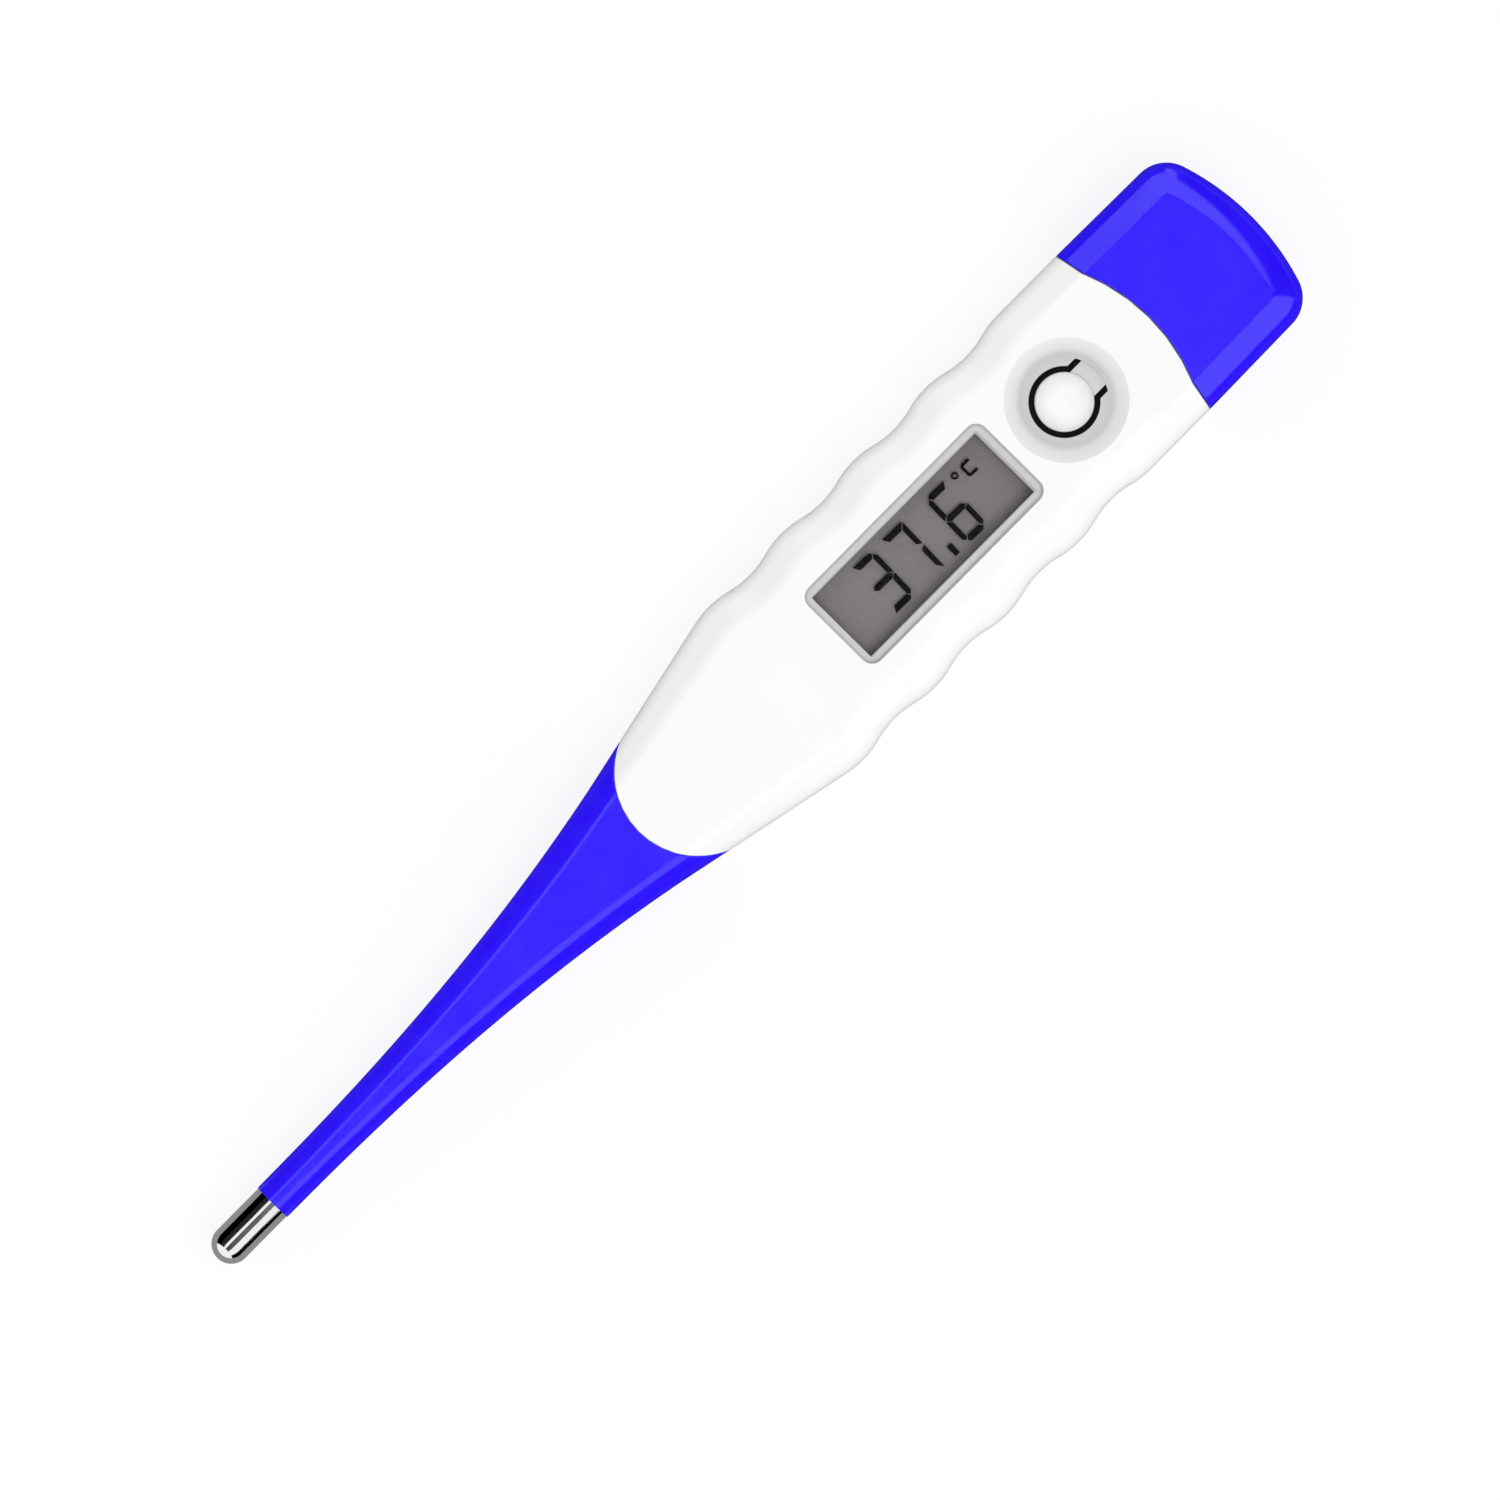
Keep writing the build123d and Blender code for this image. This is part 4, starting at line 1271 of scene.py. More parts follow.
# ---- Housing ----------------------------------------------------------------------------------------
@dataclass
class Housing(Assembly):
    """The white case: two half shells that meet on a fine parting line."""

    wall: float = 1.3
    rows: int = 200
    overlap: float = 0.1
    window_corner: float = 1.15
    window_play: float = 0.1
    view: tuple[float, float, float] = (20.9, 7.5, -0.15)
    view_corner: float = 0.12
    shelf: tuple[float, float, float] = (24.0, 9.8, 9.3)
    shelf_corner: float = 0.4
    dish_radius: float = 5.67
    dish_floor: float = 3.9
    dish_guard: float = 2.0
    dish_flare: float = 0.3
    dish_shift: float = 0.24
    dish_depth: float = 0.5
    boss_radius: float = 6.27
    boss_bottom: float = 9.4
    key_gap: float = 0.55

    def half_shell(self, name: str, up: int) -> bpy.types.Object:
        """Half of the empty case: the skin from the nose's edge to the parting, and its inner face.

        Args:
            name: the piece's name.
            up: 1 for the front half, -1 for the back half.

        Returns:
            The closed shell.
        """
        form = self.form
        columns = Columns.half(up)
        first = form.meet(columns, form.nose_edge, form.nose + form.butt_setback)
        last = form.meet(columns, form.parting, form.crown - 1)
        share = np.linspace(0, 1, self.rows)[:, None]
        station = first + (last - first) * share
        station[1], station[-2] = first + LEAD_IN, last - LEAD_IN
        inset = np.zeros((self.rows, 1))
        inset[0] = inset[-1] = LEAD_IN_DEPTH
        work = Patchwork()
        outer = work.add(form.skin(station, columns, inset))
        inner = work.add(form.skin(station, columns, self.wall))
        work.weave(outer)
        work.weave(inner)
        for end in (0, -1):
            work.bridge(outer[end], inner[end], close=False)
            work.bridge(outer[:, end], inner[:, end], close=False)
        return work.piece(name)

    def key_hole(self, centre: float, reach: float) -> Loop:
        """Plan of the hole round key and arm: a circle, and a slot to an arc about the same centre.

        Args:
            centre: X of the key's middle.
            reach: from there to the end of the arm.

        Returns:
            The hole's outline.
        """
        radius = node_box("power_button")[1][1] + self.key_gap
        half = ARM_HALF + self.key_gap
        start = math.degrees(math.asin(half / radius))
        curve = arc((centre, 0), radius, start, 360 - start, 64)
        hinge = math.hypot(reach, ARM_HALF)
        turn = math.degrees(math.asin(half / hinge))
        return np.concatenate([curve, arc((centre, 0), hinge, -turn, turn, 16)])

    def front(self) -> None:
        """The front half, with window pocket, display opening, dish and key hole."""
        form = self.form
        shell = self.half_shell("front_case", 1)
        shell.data.materials.append(self.wardrobe.materials["white_plastic"])
        inside = 2 * form.mid - self.wall + self.overlap
        above = 2 * form.mid + CLEARANCE
        lens_low, lens_high = node_box("display_window")
        middle = np.array([(lens_low[0] + lens_high[0]) / 2, 0])
        pocket_length, pocket_width, _ = lens_high - lens_low + self.window_play
        pocket = rounded_rectangle(pocket_length, pocket_width, self.window_corner) + middle
        view_length, view_width, view_shift = self.view
        view = rounded_rectangle(view_length, view_width, self.view_corner, 3) + middle + [view_shift, 0]
        shelf_length, shelf_width, shelf_level = self.shelf
        shelf = rounded_rectangle(shelf_length, shelf_width, self.shelf_corner) + middle
        key_low, key_high = node_box("power_button")
        key_x = key_low[0] + key_high[1]
        hole = self.key_hole(key_x, key_high[0] - key_x)
        dish_at = (key_x + self.dish_shift, 0)
        boss = np.array([[self.boss_radius, self.boss_bottom], [self.boss_radius, inside]])
        carve(
            shell,
            [
                (Cut.ADD, prism("shelf", shelf, shelf_level, inside)),
                (Cut.ADD, turned("boss", boss, dish_at)),
                (Cut.REMOVE, prism("pocket", pocket, node_box("window_gasket")[0][2], above)),
                (Cut.REMOVE, prism("view", view, form.mid, above)),
                (Cut.REMOVE, self.dish(dish_at, above)),
                (Cut.REMOVE, prism("hole", hole, form.mid, above)),
            ],
        )
        self.wardrobe.dress(shell, "white_plastic", "housing", "front_shell")

    def dish(self, centre: Sequence[float], above: float) -> bpy.types.Object:
        """The dish's cutter: a flat floor and a bowl, which leave behind the dish's satin finish with its
        painted shade ring.

        Args:
            centre: plan position of its axis.
            above: a level over the face.

        Returns:
            The cutter.
        """
        floor = 2 * self.form.mid - self.dish_depth
        rise = self.dish_radius - self.dish_floor
        bowl = (rise**2 + self.dish_depth**2) / (2 * self.dish_depth)
        lip = math.degrees(math.asin(rise / bowl))
        wall = arc((self.dish_floor, floor + bowl), bowl, -90, -90 + lip, 14)
        flat = [[AXIS_RADIUS, floor], [self.dish_guard, floor]]
        roof = [[self.dish_radius + self.dish_flare, above], [AXIS_RADIUS, above]]
        tool = turned("dish", np.concatenate([flat, wall, roof]), centre, 128)
        tool.data.materials.append(self.wardrobe.materials[DISH_SHADED_FINISH])
        return tool

    def build(self) -> None:
        """Builds both halves."""
        self.front()
        back = self.half_shell("back_case", -1)
        self.wardrobe.dress(back, "white_plastic", "housing", "rear_shell")


# ---- Battery cover ----------------------------------------------------------------------------------
@dataclass
class Cover(Assembly):
    """The blue pull-off cover: a shouldered profile carried round the end of the plan."""

    wall: float = 1.5
    gap: float = 0.1
    crown: float = 0.1
    section_setback: float = 0.5
    first_row: float = 0.06

    def path(self, inset: float) -> tuple[np.ndarray, np.ndarray, np.ndarray]:
        """Half of the plan's outline, from a side's straight end round to the middle of the end.

        The small corner circle touches the drafted side and the big end circle, so its centre lies
        the corner radius inside the side's line and the difference of the radii from the big centre.

        Args:
            inset: distance inside the outer skin.

        Returns:
            Outline points, their outward normals, and the side's last point.
        """
        form = self.form
        slant = math.atan(form.side_slope)
        normal = np.array([math.sin(slant), math.cos(slant)])
        along = np.array([math.cos(slant), -math.sin(slant)])
        corner = form.end_corner - inset
        big = np.array([form.length - form.end_radius, 0.0])
        line = np.array([form.side_end, form.half_width]) - normal * form.end_corner
        offset = line - big
        spread = form.end_radius - form.end_corner
        reach = -offset @ along + math.sqrt((offset @ along) ** 2 - offset @ offset + spread**2)
        centre = line + reach * along
        first = math.degrees(math.atan2(normal[1], normal[0]))
        towards = centre - big
        last = math.degrees(math.atan2(towards[1], towards[0]))
        small_normal = arc((0, 0), 1, first, last, 20)
        big_normal = arc((0, 0), 1, last, 0, 25)[1:]
        normals = np.concatenate([small_normal, big_normal])
        end = big + (form.end_radius - inset) * big_normal
        return np.concatenate([centre + corner * small_normal, end]), normals, centre + corner * normal

    def profile(self, inset: float) -> tuple[np.ndarray, np.ndarray, np.ndarray]:
        """Distance inwards, height above the middle and swell of each column of the shoulder.

        It takes the quarter's columns up to the first of the face's four.  The swell is 4 u (1 - u) at
        share u of the shoulder, so the shoulder bows out in its middle.

        Args:
            inset: distance inside the outer skin.

        Returns:
            The three arrays, from the lower face round to the upper face.
        """
        form = self.form
        columns = Columns.quarter(False).part(slice(-3))
        station = np.full(len(columns.run), form.crown - self.section_setback)
        points = form.skin(station, columns, inset)
        depth = form.width(station) - inset - points[:, 1]
        level = points[:, 2] - form.mid
        swell = np.where(columns.run == Run.SHOULDER, 4 * columns.share * (1 - columns.share), 0)
        return (
            np.concatenate([depth[:0:-1], depth]),
            np.concatenate([-level[:0:-1], level]),
            np.concatenate([swell[:0:-1], swell]),
        )

    def cup(self, work: Patchwork, inset: float) -> np.ndarray:
        """One face of the cover, outer or inner.

        The end's shoulder swells by its crown times the square of its normal's part along the length.

        Args:
            work: the patchwork to add to.
            inset: distance inside the outer skin.

        Returns:
            Indices of the loop round its opening.
        """
        form = self.form
        points, normals, side_last = self.path(inset)
        depth, level, swell = self.profile(inset)
        across = form.half_width - inset - depth
        first = form.parting(np.maximum(across, 0)) + self.gap
        shares = np.concatenate([[0, 0], np.linspace(self.first_row, 1, 14)[:-1]])[:, None]
        station = first + (side_last[0] - first) * shares
        station[1] += LEAD_IN
        pull = np.zeros_like(station)
        pull[0] = LEAD_IN_DEPTH if inset == 0 else 0.0
        run_y = form.half_width - form.side_slope * (station - form.side_end) - inset - depth - pull
        side = np.stack([form.x(station), run_y, form.mid + level * (1 - pull / form.mid)], axis=-1)
        bow_out = self.crown * normals[:, :1] ** 2 * swell
        tilt = math.atan2(form.shoulder, form.drop)
        around = points[:, None] - normals[:, None] * (depth - bow_out * math.cos(tilt))[..., None]
        rise = form.mid + level + np.sign(level) * bow_out * math.sin(tilt)
        turn = np.stack([form.x(around[..., 0]), around[..., 1], rise], axis=-1)
        near = np.concatenate([side, turn], axis=0)
        index = work.add(np.concatenate([near, near[-2::-1] * np.array([1, -1, 1])], axis=0))
        work.weave(index)
        bows = [self.face(work, index, near, row, column) for column in (-1, 0) for row in (0, 1)]
        for (lip, edge), column in ((bows[:2], -1), (bows[2:], 0)):
            ends = [index[row, column] for row in (0, 1, -2, -1)]
            work.bridge(np.array([ends[0], *lip, ends[3]]), np.array([ends[1], *edge, ends[2]]), close=False)
            work.plug(np.concatenate([index[1:-1, column], edge[::-1]]))
        return np.concatenate([index[0], bows[0], index[-1][::-1], bows[2][::-1]])

    def face(
        self, work: Patchwork, index: np.ndarray, near: np.ndarray, row: int, column: int
    ) -> np.ndarray:
        """A bow of points across the flat face, beside the parting.

        Args:
            work: the patchwork to add to.
            index: the cup's indices.
            near: the cup's points on the +Y side.
            row: the row of the cup whose ends the bow joins.
            column: the column of the cup that bounds the face.

        Returns:
            The bow's indices, from +Y to -Y.
        """
        x, half, level = near[row, column]
        across = np.linspace(half, -half, 33)[1:-1]
        bow = self.form.x(self.form.parting(np.abs(across)))
        bow += x - self.form.x(self.form.parting(half))
        return work.add(np.stack([bow, across, np.full_like(across, level)], axis=-1))

    def build(self) -> None:
        """Builds the cover as an outer and an inner cup joined at the opening."""
        work = Patchwork()
        work.bridge(self.cup(work, 0.0), self.cup(work, self.wall))
        piece = work.piece("end_cover")
        self.wardrobe.dress(piece, "blue_plastic", "cover", "battery_cover")


# ---- Stem and tip -----------------------------------------------------------------------------------
@dataclass
class Stem(Assembly):
    """The rubber stem in two lengths, and where along it each length's bend lies."""

    split: float = 27.0
    bend_front: tuple[float, float] = (10.0, 26.0)
    bend_rear: tuple[float, float] = (27.5, 53.0)
    bore: float = 0.9
    gap: float = 0.05
    tongue_inset: float = 1.35
    tongue_reach: float = 9.8
    skirt_reach: float = 6.0
    wire_pitch: float = 0.7
    wire_step: float = 0.5
    wire_climb: tuple[float, float] = (0.4, 2.0)
    step: float = 0.4

    def bore_rows(self, station: np.ndarray, columns: Columns) -> np.ndarray:
        """Rows round the bore, each point on the line from the axis to the skin's point.

        Args:
            station: stations, with one value per column.
            columns: the skin's columns.

        Returns:
            The rows' points.
        """
        skin = self.form.skin(station, columns)
        spoke = skin[..., 1:] - np.array([0, self.form.mid])
        spoke = spoke / np.linalg.norm(spoke, axis=-1, keepdims=True)
        ring = self.bore * spoke + np.array([0, self.form.mid])
        return np.concatenate([skin[..., :1], ring], axis=-1)

    def rows(self, first: float, last: float, columns: Columns) -> np.ndarray:
        """Stations of evenly spaced rows, one value per column."""
        count = int(round((last - first) / self.step)) + 1
        return np.linspace(first, last, count)[:, None] * np.ones(len(columns.run))

    def front(self) -> bpy.types.Object:
        """The thin length at the tip.

        Returns:
            The piece.
        """
        columns = Columns.ring()
        station = self.rows(self.form.rubber, self.split, columns)
        work = Patchwork()
        ends = self.bore_rows(station[[-1, 0]], columns)
        work.weave(work.add(np.concatenate([self.form.skin(station, columns), ends])), True, True)
        return work.piece("stem_front")

    def rear(self) -> bpy.types.Object:
        """The flaring length, its flush skirt round the white nose and the tongue inside the case.

        Returns:
            The piece.
        """
        form = self.form
        columns = Columns.ring()
        start = form.nose - self.skirt_reach
        station = self.rows(self.split, start, columns)
        edge = form.meet(columns, form.nose_edge, form.nose + 2) - self.gap
        share = np.linspace(0, 1, 24)[1:, None]
        skirt = start + (edge - start) * share
        tongue_end = np.full((1, len(columns.run)), form.nose + self.tongue_reach)
        grids = [
            form.skin(station, columns),
            form.skin(skirt[:-1], columns),
            form.skin(skirt[-1:] - LEAD_IN, columns),
            form.skin(skirt[-1:], columns, LEAD_IN),
            form.skin(skirt[-1:], columns, self.tongue_inset),
            form.skin(tongue_end, columns, self.tongue_inset),
            self.bore_rows(tongue_end, columns),
            self.bore_rows(station[:1], columns),
        ]
        work = Patchwork()
        work.weave(work.add(np.concatenate(grids)), True, True)
        return work.piece("stem_rear")

    @property
    def wire_radius(self) -> float:
        """Radius of a wire, from the width of the pair."""
        low, high = node_box("lead_wires")
        return (high[1] - low[1] - self.wire_pitch) / 2

    def wire_pair(self, name: str, route: np.ndarray) -> bpy.types.Object:
        """Two wires side by side along a route of points (station, level).

        Each ring is a circle square to the route's own direction there.

        Args:
            name: the piece's name.
            route: the points.

        Returns:
            The piece.
        """
        direction = np.gradient(route, axis=0)
        direction /= np.linalg.norm(direction, axis=1, keepdims=True)
        ring = circle(self.wire_radius, 12)
        work = Patchwork()
        for across in (-self.wire_pitch / 2, self.wire_pitch / 2):
            x = self.form.x(route[:, :1]) - direction[:, 1:] * ring[None, :, 1]
            z = route[:, 1:] + direction[:, :1] * ring[None, :, 1]
            y = across + np.broadcast_to(ring[None, :, 0], x.shape)
            work.tube(np.stack([x, y, z], axis=-1))
        return work.piece(name)

    def wires(self) -> tuple[bpy.types.Object, bpy.types.Object]:
        """The leads from bead to board, split where the stem is split.

        Behind the tongue they climb from the stem's axis to the board's upper face.

        Returns:
            The front pair and the rear pair.
        """
        form = self.form
        low, high = node_box("lead_wires")
        begin, end = low[0] + form.length / 2, high[0] + form.length / 2
        top = high[2] - self.wire_radius
        straight = np.arange(self.split, form.nose + self.tongue_reach + 1, self.wire_step)
        rise_start, rise_end = straight[-1] + self.wire_climb[0], end - self.wire_climb[1]
        climb = np.linspace(rise_start, rise_end, 12)
        level = form.mid + (top - form.mid) * smooth(climb, rise_start, rise_end)
        level_run = np.column_stack([straight, np.full_like(straight, form.mid)])
        rear = np.concatenate([level_run, np.column_stack([climb, level]), [[end, top]]])
        ahead = np.arange(begin, self.split + self.wire_step / 2, self.wire_step)
        ahead[-1] = self.split
        front = np.column_stack([ahead, np.full_like(ahead, form.mid)])
        return self.wire_pair("leads_front", front), self.wire_pair("leads_rear", rear)

    def ends(self, bend: tuple[float, float]) -> list[tuple[float, float, float]]:
        """The two ends of a bend on the stem's axis, in metres."""
        return [(float(self.form.x(place)) * MM, 0, self.form.mid * MM) for place in bend]

    def build(self) -> None:
        """Builds stem and leads, and works out the ends of each length's bend."""
        leads_front, leads_rear = self.wires()
        for piece, slot, node in (
            (self.front(), "blue_rubber", "flexible_stem"),
            (leads_front, "wire_enamel", "lead_wires"),
        ):
            self.wardrobe.dress(piece, slot, None, node)
            start, end = self.ends(self.bend_front)
            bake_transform(piece)
        for piece, slot, node in (
            (self.rear(), "blue_rubber", "flexible_stem"),
            (leads_rear, "wire_enamel", "lead_wires"),
        ):
            self.wardrobe.dress(piece, slot, None, node)
            start, end = self.ends(self.bend_rear)
            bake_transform(piece)


@dataclass
class Tip(Assembly):
    """The drawn steel cup over the sensor."""

    wall: float = 0.2
    roll: float = 0.06
    pole: float = 0.03
    sides: int = 96

    def build(self) -> None:
        """Turns the cup about the stem's axis: a quarter circle, a straight wall and a rolled rim."""
        low, high = node_box("steel_tip")
        radius = high[1]
        length = high[0] - low[0]
        roll = self.roll
        outside = arc((radius, 0), radius, 180, 90, 28)
        outside[0, 1] = self.pole
        wall = [[radius + roll, radius], [length - 1.5 * roll, radius]]
        rim = arc((length - roll, radius - roll), roll, 90, 0, 5)
        inner_rim = [[length, radius - self.wall]]
        inside = arc((radius, 0), radius - self.wall, 90, 180, 18)
        inside[-1, 1] = self.pole
        profile = np.concatenate([outside, wall, rim, inner_rim, inside])
        ring = circle(1.0, self.sides)
        x = low[0] + np.broadcast_to(profile[:, :1], (len(profile), self.sides))
        across = profile[:, 1:] * ring[None, :, 0]
        level = self.form.mid + profile[:, 1:] * ring[None, :, 1]
        work = Patchwork()
        work.tube(np.stack([x, across, level], axis=-1))
        self.wardrobe.dress(work.piece("tip_cup"), "stainless_steel", "sensor", "steel_tip")


# ---- Key --------------------------------------------------------------------------------------------
@dataclass
class Key(Assembly):
    """The domed white key, the arm that hinges it, and the soft seal under it."""

    arm_overlap: float = 0.6
    base_level: float = 9.7
    rim_drop: float = 0.5
    rim_rise: float = 0.12
    rounding: float = 0.18
    rounding_rise: float = 0.6
    pole_angle: float = 89.4
    plunger: float = 1.6
    seal: tuple[float, float] = (0.5, 0.08)
    seal_rings: int = 16

    def membrane(self) -> None:
        """The seal: a disc with a plunger.

        Its disc has rings of equal steps, and its top lies a little under the case, which leaves room over
        its hinge side.
        """
        low, high = node_box("button_membrane")
        radius = high[1]
        thickness, room = self.seal
        ring = np.linspace(self.plunger, radius, self.seal_rings)
        inner = np.linspace(AXIS_RADIUS, self.plunger, self.seal_rings // 2)[:-1]
        under = np.column_stack([ring, np.full(len(ring), high[2] - thickness)])
        level = np.full(len(ring) + len(inner), high[2] - room)
        above = np.column_stack([np.concatenate([inner, ring]), level])[::-1]
        profile = np.concatenate([[[AXIS_RADIUS, low[2]], [self.plunger, low[2]]], under, above])
        seal = turned("key_membrane", profile, (low[0] + radius, 0), 96)
        self.wardrobe.dress(seal, "black_silicone", None, "button_membrane")
        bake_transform(seal)

    def build(self) -> None:
        """Turns the dome, a circle's cap on a rounded rim, and joins the flat arm to it."""
        self.membrane()
        low, high = node_box("power_button")
        radius = high[1]
        centre = low[0] + radius
        floor = 2 * self.form.mid - self.rim_drop
        edge = floor + self.rim_rise
        reach = radius - self.rounding
        rise = high[2] - edge - self.rounding * self.rounding_rise
        dome = (reach**2 + rise**2) / (2 * rise)
        lip = math.degrees(math.asin(reach / dome))
        crown = arc((0, high[2] - dome), dome, 90 - lip, self.pole_angle, 22)
        corner = arc((reach, edge), self.rounding, 0, 90 - lip, 6)
        profile = np.concatenate([[[AXIS_RADIUS, low[2]], [radius, low[2]]], corner, crown[1:]])
        key = turned("key_cap", profile, (centre, 0), 96)
        # The dome's material carries painted shade that darkens towards its rim.
        key.data.materials.append(self.wardrobe.materials[KEY_SHADED_FINISH])
        arm_start = centre + radius - self.arm_overlap
        hinge = math.hypot(high[0] - centre, ARM_HALF)
        turn = math.degrees(math.asin(ARM_HALF / hinge))
        arm_end = arc((centre, 0), hinge, -turn, turn, 12)
        arm_plan = np.concatenate([[[arm_start, -ARM_HALF]], arm_end, [[arm_start, ARM_HALF]]])
        arm = prism("arm", arm_plan, self.base_level, floor)
        # The arm takes the dish's material, so the dish's painted shade darkens it too.
        arm.data.materials.append(self.wardrobe.materials[DISH_SHADED_FINISH])
        carve(key, [(Cut.ADD, arm)])
        self.wardrobe.dress(key, "white_plastic", "key", "power_button")


# ---- Window and display -----------------------------------------------------------------------------
class Bar(Enum):
    """The bars of a figure: a letter, the side on which it lies (-1 is left), and its half (1 is upper)."""

    TOP = ("a", 0, 1)
    RIGHT_TOP = ("b", 1, 1)
    RIGHT_LOW = ("c", 1, -1)
    LOW = ("d", 0, -1)
    LEFT_LOW = ("e", -1, -1)
    LEFT_TOP = ("f", -1, 1)
    MIDDLE = ("g", 0, 0)


class End(Enum):
    """How bars end at a corner: mitred with the corner nicked, mitred in full, or slanted and free.

    The value holds the ends of the level bar and of the upright bar, as points (distance from the
    figure's side, distance from its top), from the inside of the bar to the outside.
    """

    NICKED = (((0.66, 0.63), (0.33, 0.26), (0.62, 0.0)), ((0.52, 0.66), (0.28, 0.35), (0.0, 0.66)))
    SQUARE = (((0.62, 0.63), (0.06, 0.0)), ((0.5, 0.68), (0.0, 0.1)))
    FREE = (((0.57, 0.63), (0.18, 0.0)), ((0.5, 0.65), (0.0, 0.0)))


@dataclass(frozen=True)
class Figure:
    """A figure: the letters of its dark bars, and how two of them meet at a corner."""

    bars: str
    joint: End = End.NICKED


@dataclass
class Display(Assembly):
    """The clear window and the figures of the display cell."""

    corner: float = 1.1
    rounding: float = 0.12
    guard: float = 0.03
    figures: tuple[tuple[Figure, float], ...] = (
        (Figure("abcdg"), 85.7),
        (Figure("abc", End.SQUARE), 89.35),
        (Figure("acdefg"), 94.775),
    )
    figure_size: tuple[float, float] = (2.65, 5.65)
    middle_bar: tuple[tuple[float, float], ...] = ((0.5, 0.31), (0.15, 0.0), (0.5, -0.31))
    middle_end: tuple[tuple[float, float], ...] = ((0.0, 0.07), (0.5, 0.38))
    point: tuple[float, float, float, float] = (92.0, 92.55, -2.81, -1.62)
    degree: tuple[float, float, float, float] = (96.96, 2.48, 0.35, 0.18)
    unit: tuple[float, float, float, float] = (97.82, 98.86, 1.41, 2.83)
    unit_bend: float = 0.22
    stroke: float = 0.27
    stroke_overlap: float = 0.2
    cell_middle: tuple[float, float] = (91.5, 0.03)
    cell_turn: float = math.radians(-1.4)
    print_levels: tuple[float, float] = (8.57, 8.59)

    def window(self) -> None:
        """The window: a rounded rectangle that shrinks towards its polished upper edge."""
        low, high = node_box("display_window")
        size, middle = high - low, (low + high) / 2
        turn = np.linspace(0, math.pi / 2, 5)
        top_inset = self.rounding + self.guard
        insets = np.concatenate([[0.0], self.rounding * (1 - np.cos(turn)), [top_inset]])
        levels = np.concatenate([[low[2]], high[2] - self.rounding * (1 - np.sin(turn)), [high[2]]])
        work = Patchwork()
        loops = []
        for inset, level in zip(insets, levels):
            plan = rounded_rectangle(size[0] - 2 * inset, size[1] - 2 * inset, self.corner - inset)
            loops.append(at_level(plan + middle[:2], level))
        work.tube(np.stack(loops))
        lens = self.wardrobe.dress(work.piece("window_lens"), "window_clear", "housing", "display_window")
        lens.visible_shadow = False
        lens.visible_diffuse = False

    def bar(self, figure: Figure, bar: Bar) -> Loop:
        """Outline of one bar of a figure whose middle is at (0, 0).

        A point at distances (d, t) from the side and the top lies at (w/2 - d, h/2 - t), turned to the
        bar's own side and half.

        Args:
            figure: the figure.
            bar: which of its bars.

        Returns:
            The corners.
        """
        letter, side, half = bar.value
        corner = np.array(self.figure_size) / 2
        if bar is Bar.MIDDLE:
            right = np.array([corner[0], 0]) - np.array(self.middle_bar)
            return np.concatenate([right, -right])
        if side == 0:
            ends = [np.array(self.end(figure, turn, half).value[0]) for turn in (-1, 1)]
            left, right = ([turn, half] * (corner - end) for turn, end in zip((-1, 1), ends))
            return np.concatenate([left, right[::-1]])
        outer = corner - np.array(self.end(figure, side, half).value[1])
        inner = np.array([corner[0], 0]) + np.array(self.middle_end) * [-1, 1]
        return [side, half] * np.concatenate([outer, inner])

    def end(self, figure: Figure, side: int, half: int) -> End:
        """How the bars of a figure end at the corner on a side and in a half.

        Args:
            figure: the figure.
            side, half: the corner, as each bar holds them.

        Returns:
            The kind of end.
        """
        level = next(bar.value[0] for bar in Bar if bar.value[1:] == (0, half))
        upright = next(bar.value[0] for bar in Bar if bar.value[1:] == (side, half))
        return figure.joint if level in figure.bars and upright in figure.bars else End.FREE

    def stroke_path(self, line: Loop, width: float, closed: bool = False) -> list[Loop]:
        """Quads along a line, each as wide as the stroke and square to the line at both ends.

        Args:
            line: the line's points.
            width: the stroke's width.
            closed: whether the last point joins the first.

        Returns:
            One outline for each step of the line.
        """
        ahead = np.roll(line, -1, axis=0) if closed else line[1:]
        behind = line if closed else line[:-1]
        step = ahead - behind
        step /= np.linalg.norm(step, axis=1, keepdims=True)
        side = np.stack([-step[:, 1], step[:, 0]], axis=1) * width / 2
        reach = step * width * self.stroke_overlap
        near, far = behind - reach, ahead + reach
        return list(np.stack([near - side, far - side, far + side, near + side], axis=1))

    def figures_print(self) -> None:
        """The dark figures inside the cell: 37.6 and the degree Celsius sign."""
        middle = np.array(self.cell_middle)
        plates = [
            [station, middle[1]] + self.bar(figure, bar)
            for figure, station in self.figures
            for bar in Bar
            if bar.value[0] in figure.bars
        ]
        first, last, low, top = self.point
        plates.append(np.array([[first, low], [last, low], [last, top], [first, top]]))
        centre, up, radius, width = self.degree
        plates += self.stroke_path(circle(radius - width / 2, 24) + [centre, up], width, True)
        first, last, low, top = self.unit
        bend, half = self.unit_bend, self.stroke / 2
        left = first + half
        upper = arc((left + bend, top - half - bend), bend, 90, 180, 6)
        lower = arc((left + bend, low + half + bend), bend, 180, 270, 6)
        letter = np.concatenate([[[last, top - half]], upper, lower, [[last, low + half]]])
        plates += self.stroke_path(letter, self.stroke)
        cosine, sine = math.cos(self.cell_turn), math.sin(self.cell_turn)
        turn = np.array([[cosine, sine], [-sine, cosine]])
        work = Patchwork()
        for plate in plates:
            plan = (plate - middle) @ turn + middle
            plan[:, 0] = self.form.x(plan[:, 0])
            work.tube(np.stack([at_level(plan, level) for level in self.print_levels]))
        piece = work.piece("display_figures")
        piece.data.materials.append(self.wardrobe.materials[PRINT_FINISH])
        self.wardrobe.dress(piece, "reflector_film", "housing")

    def build(self) -> None:
        """Builds the window and the figures."""
        self.window()
        self.figures_print()


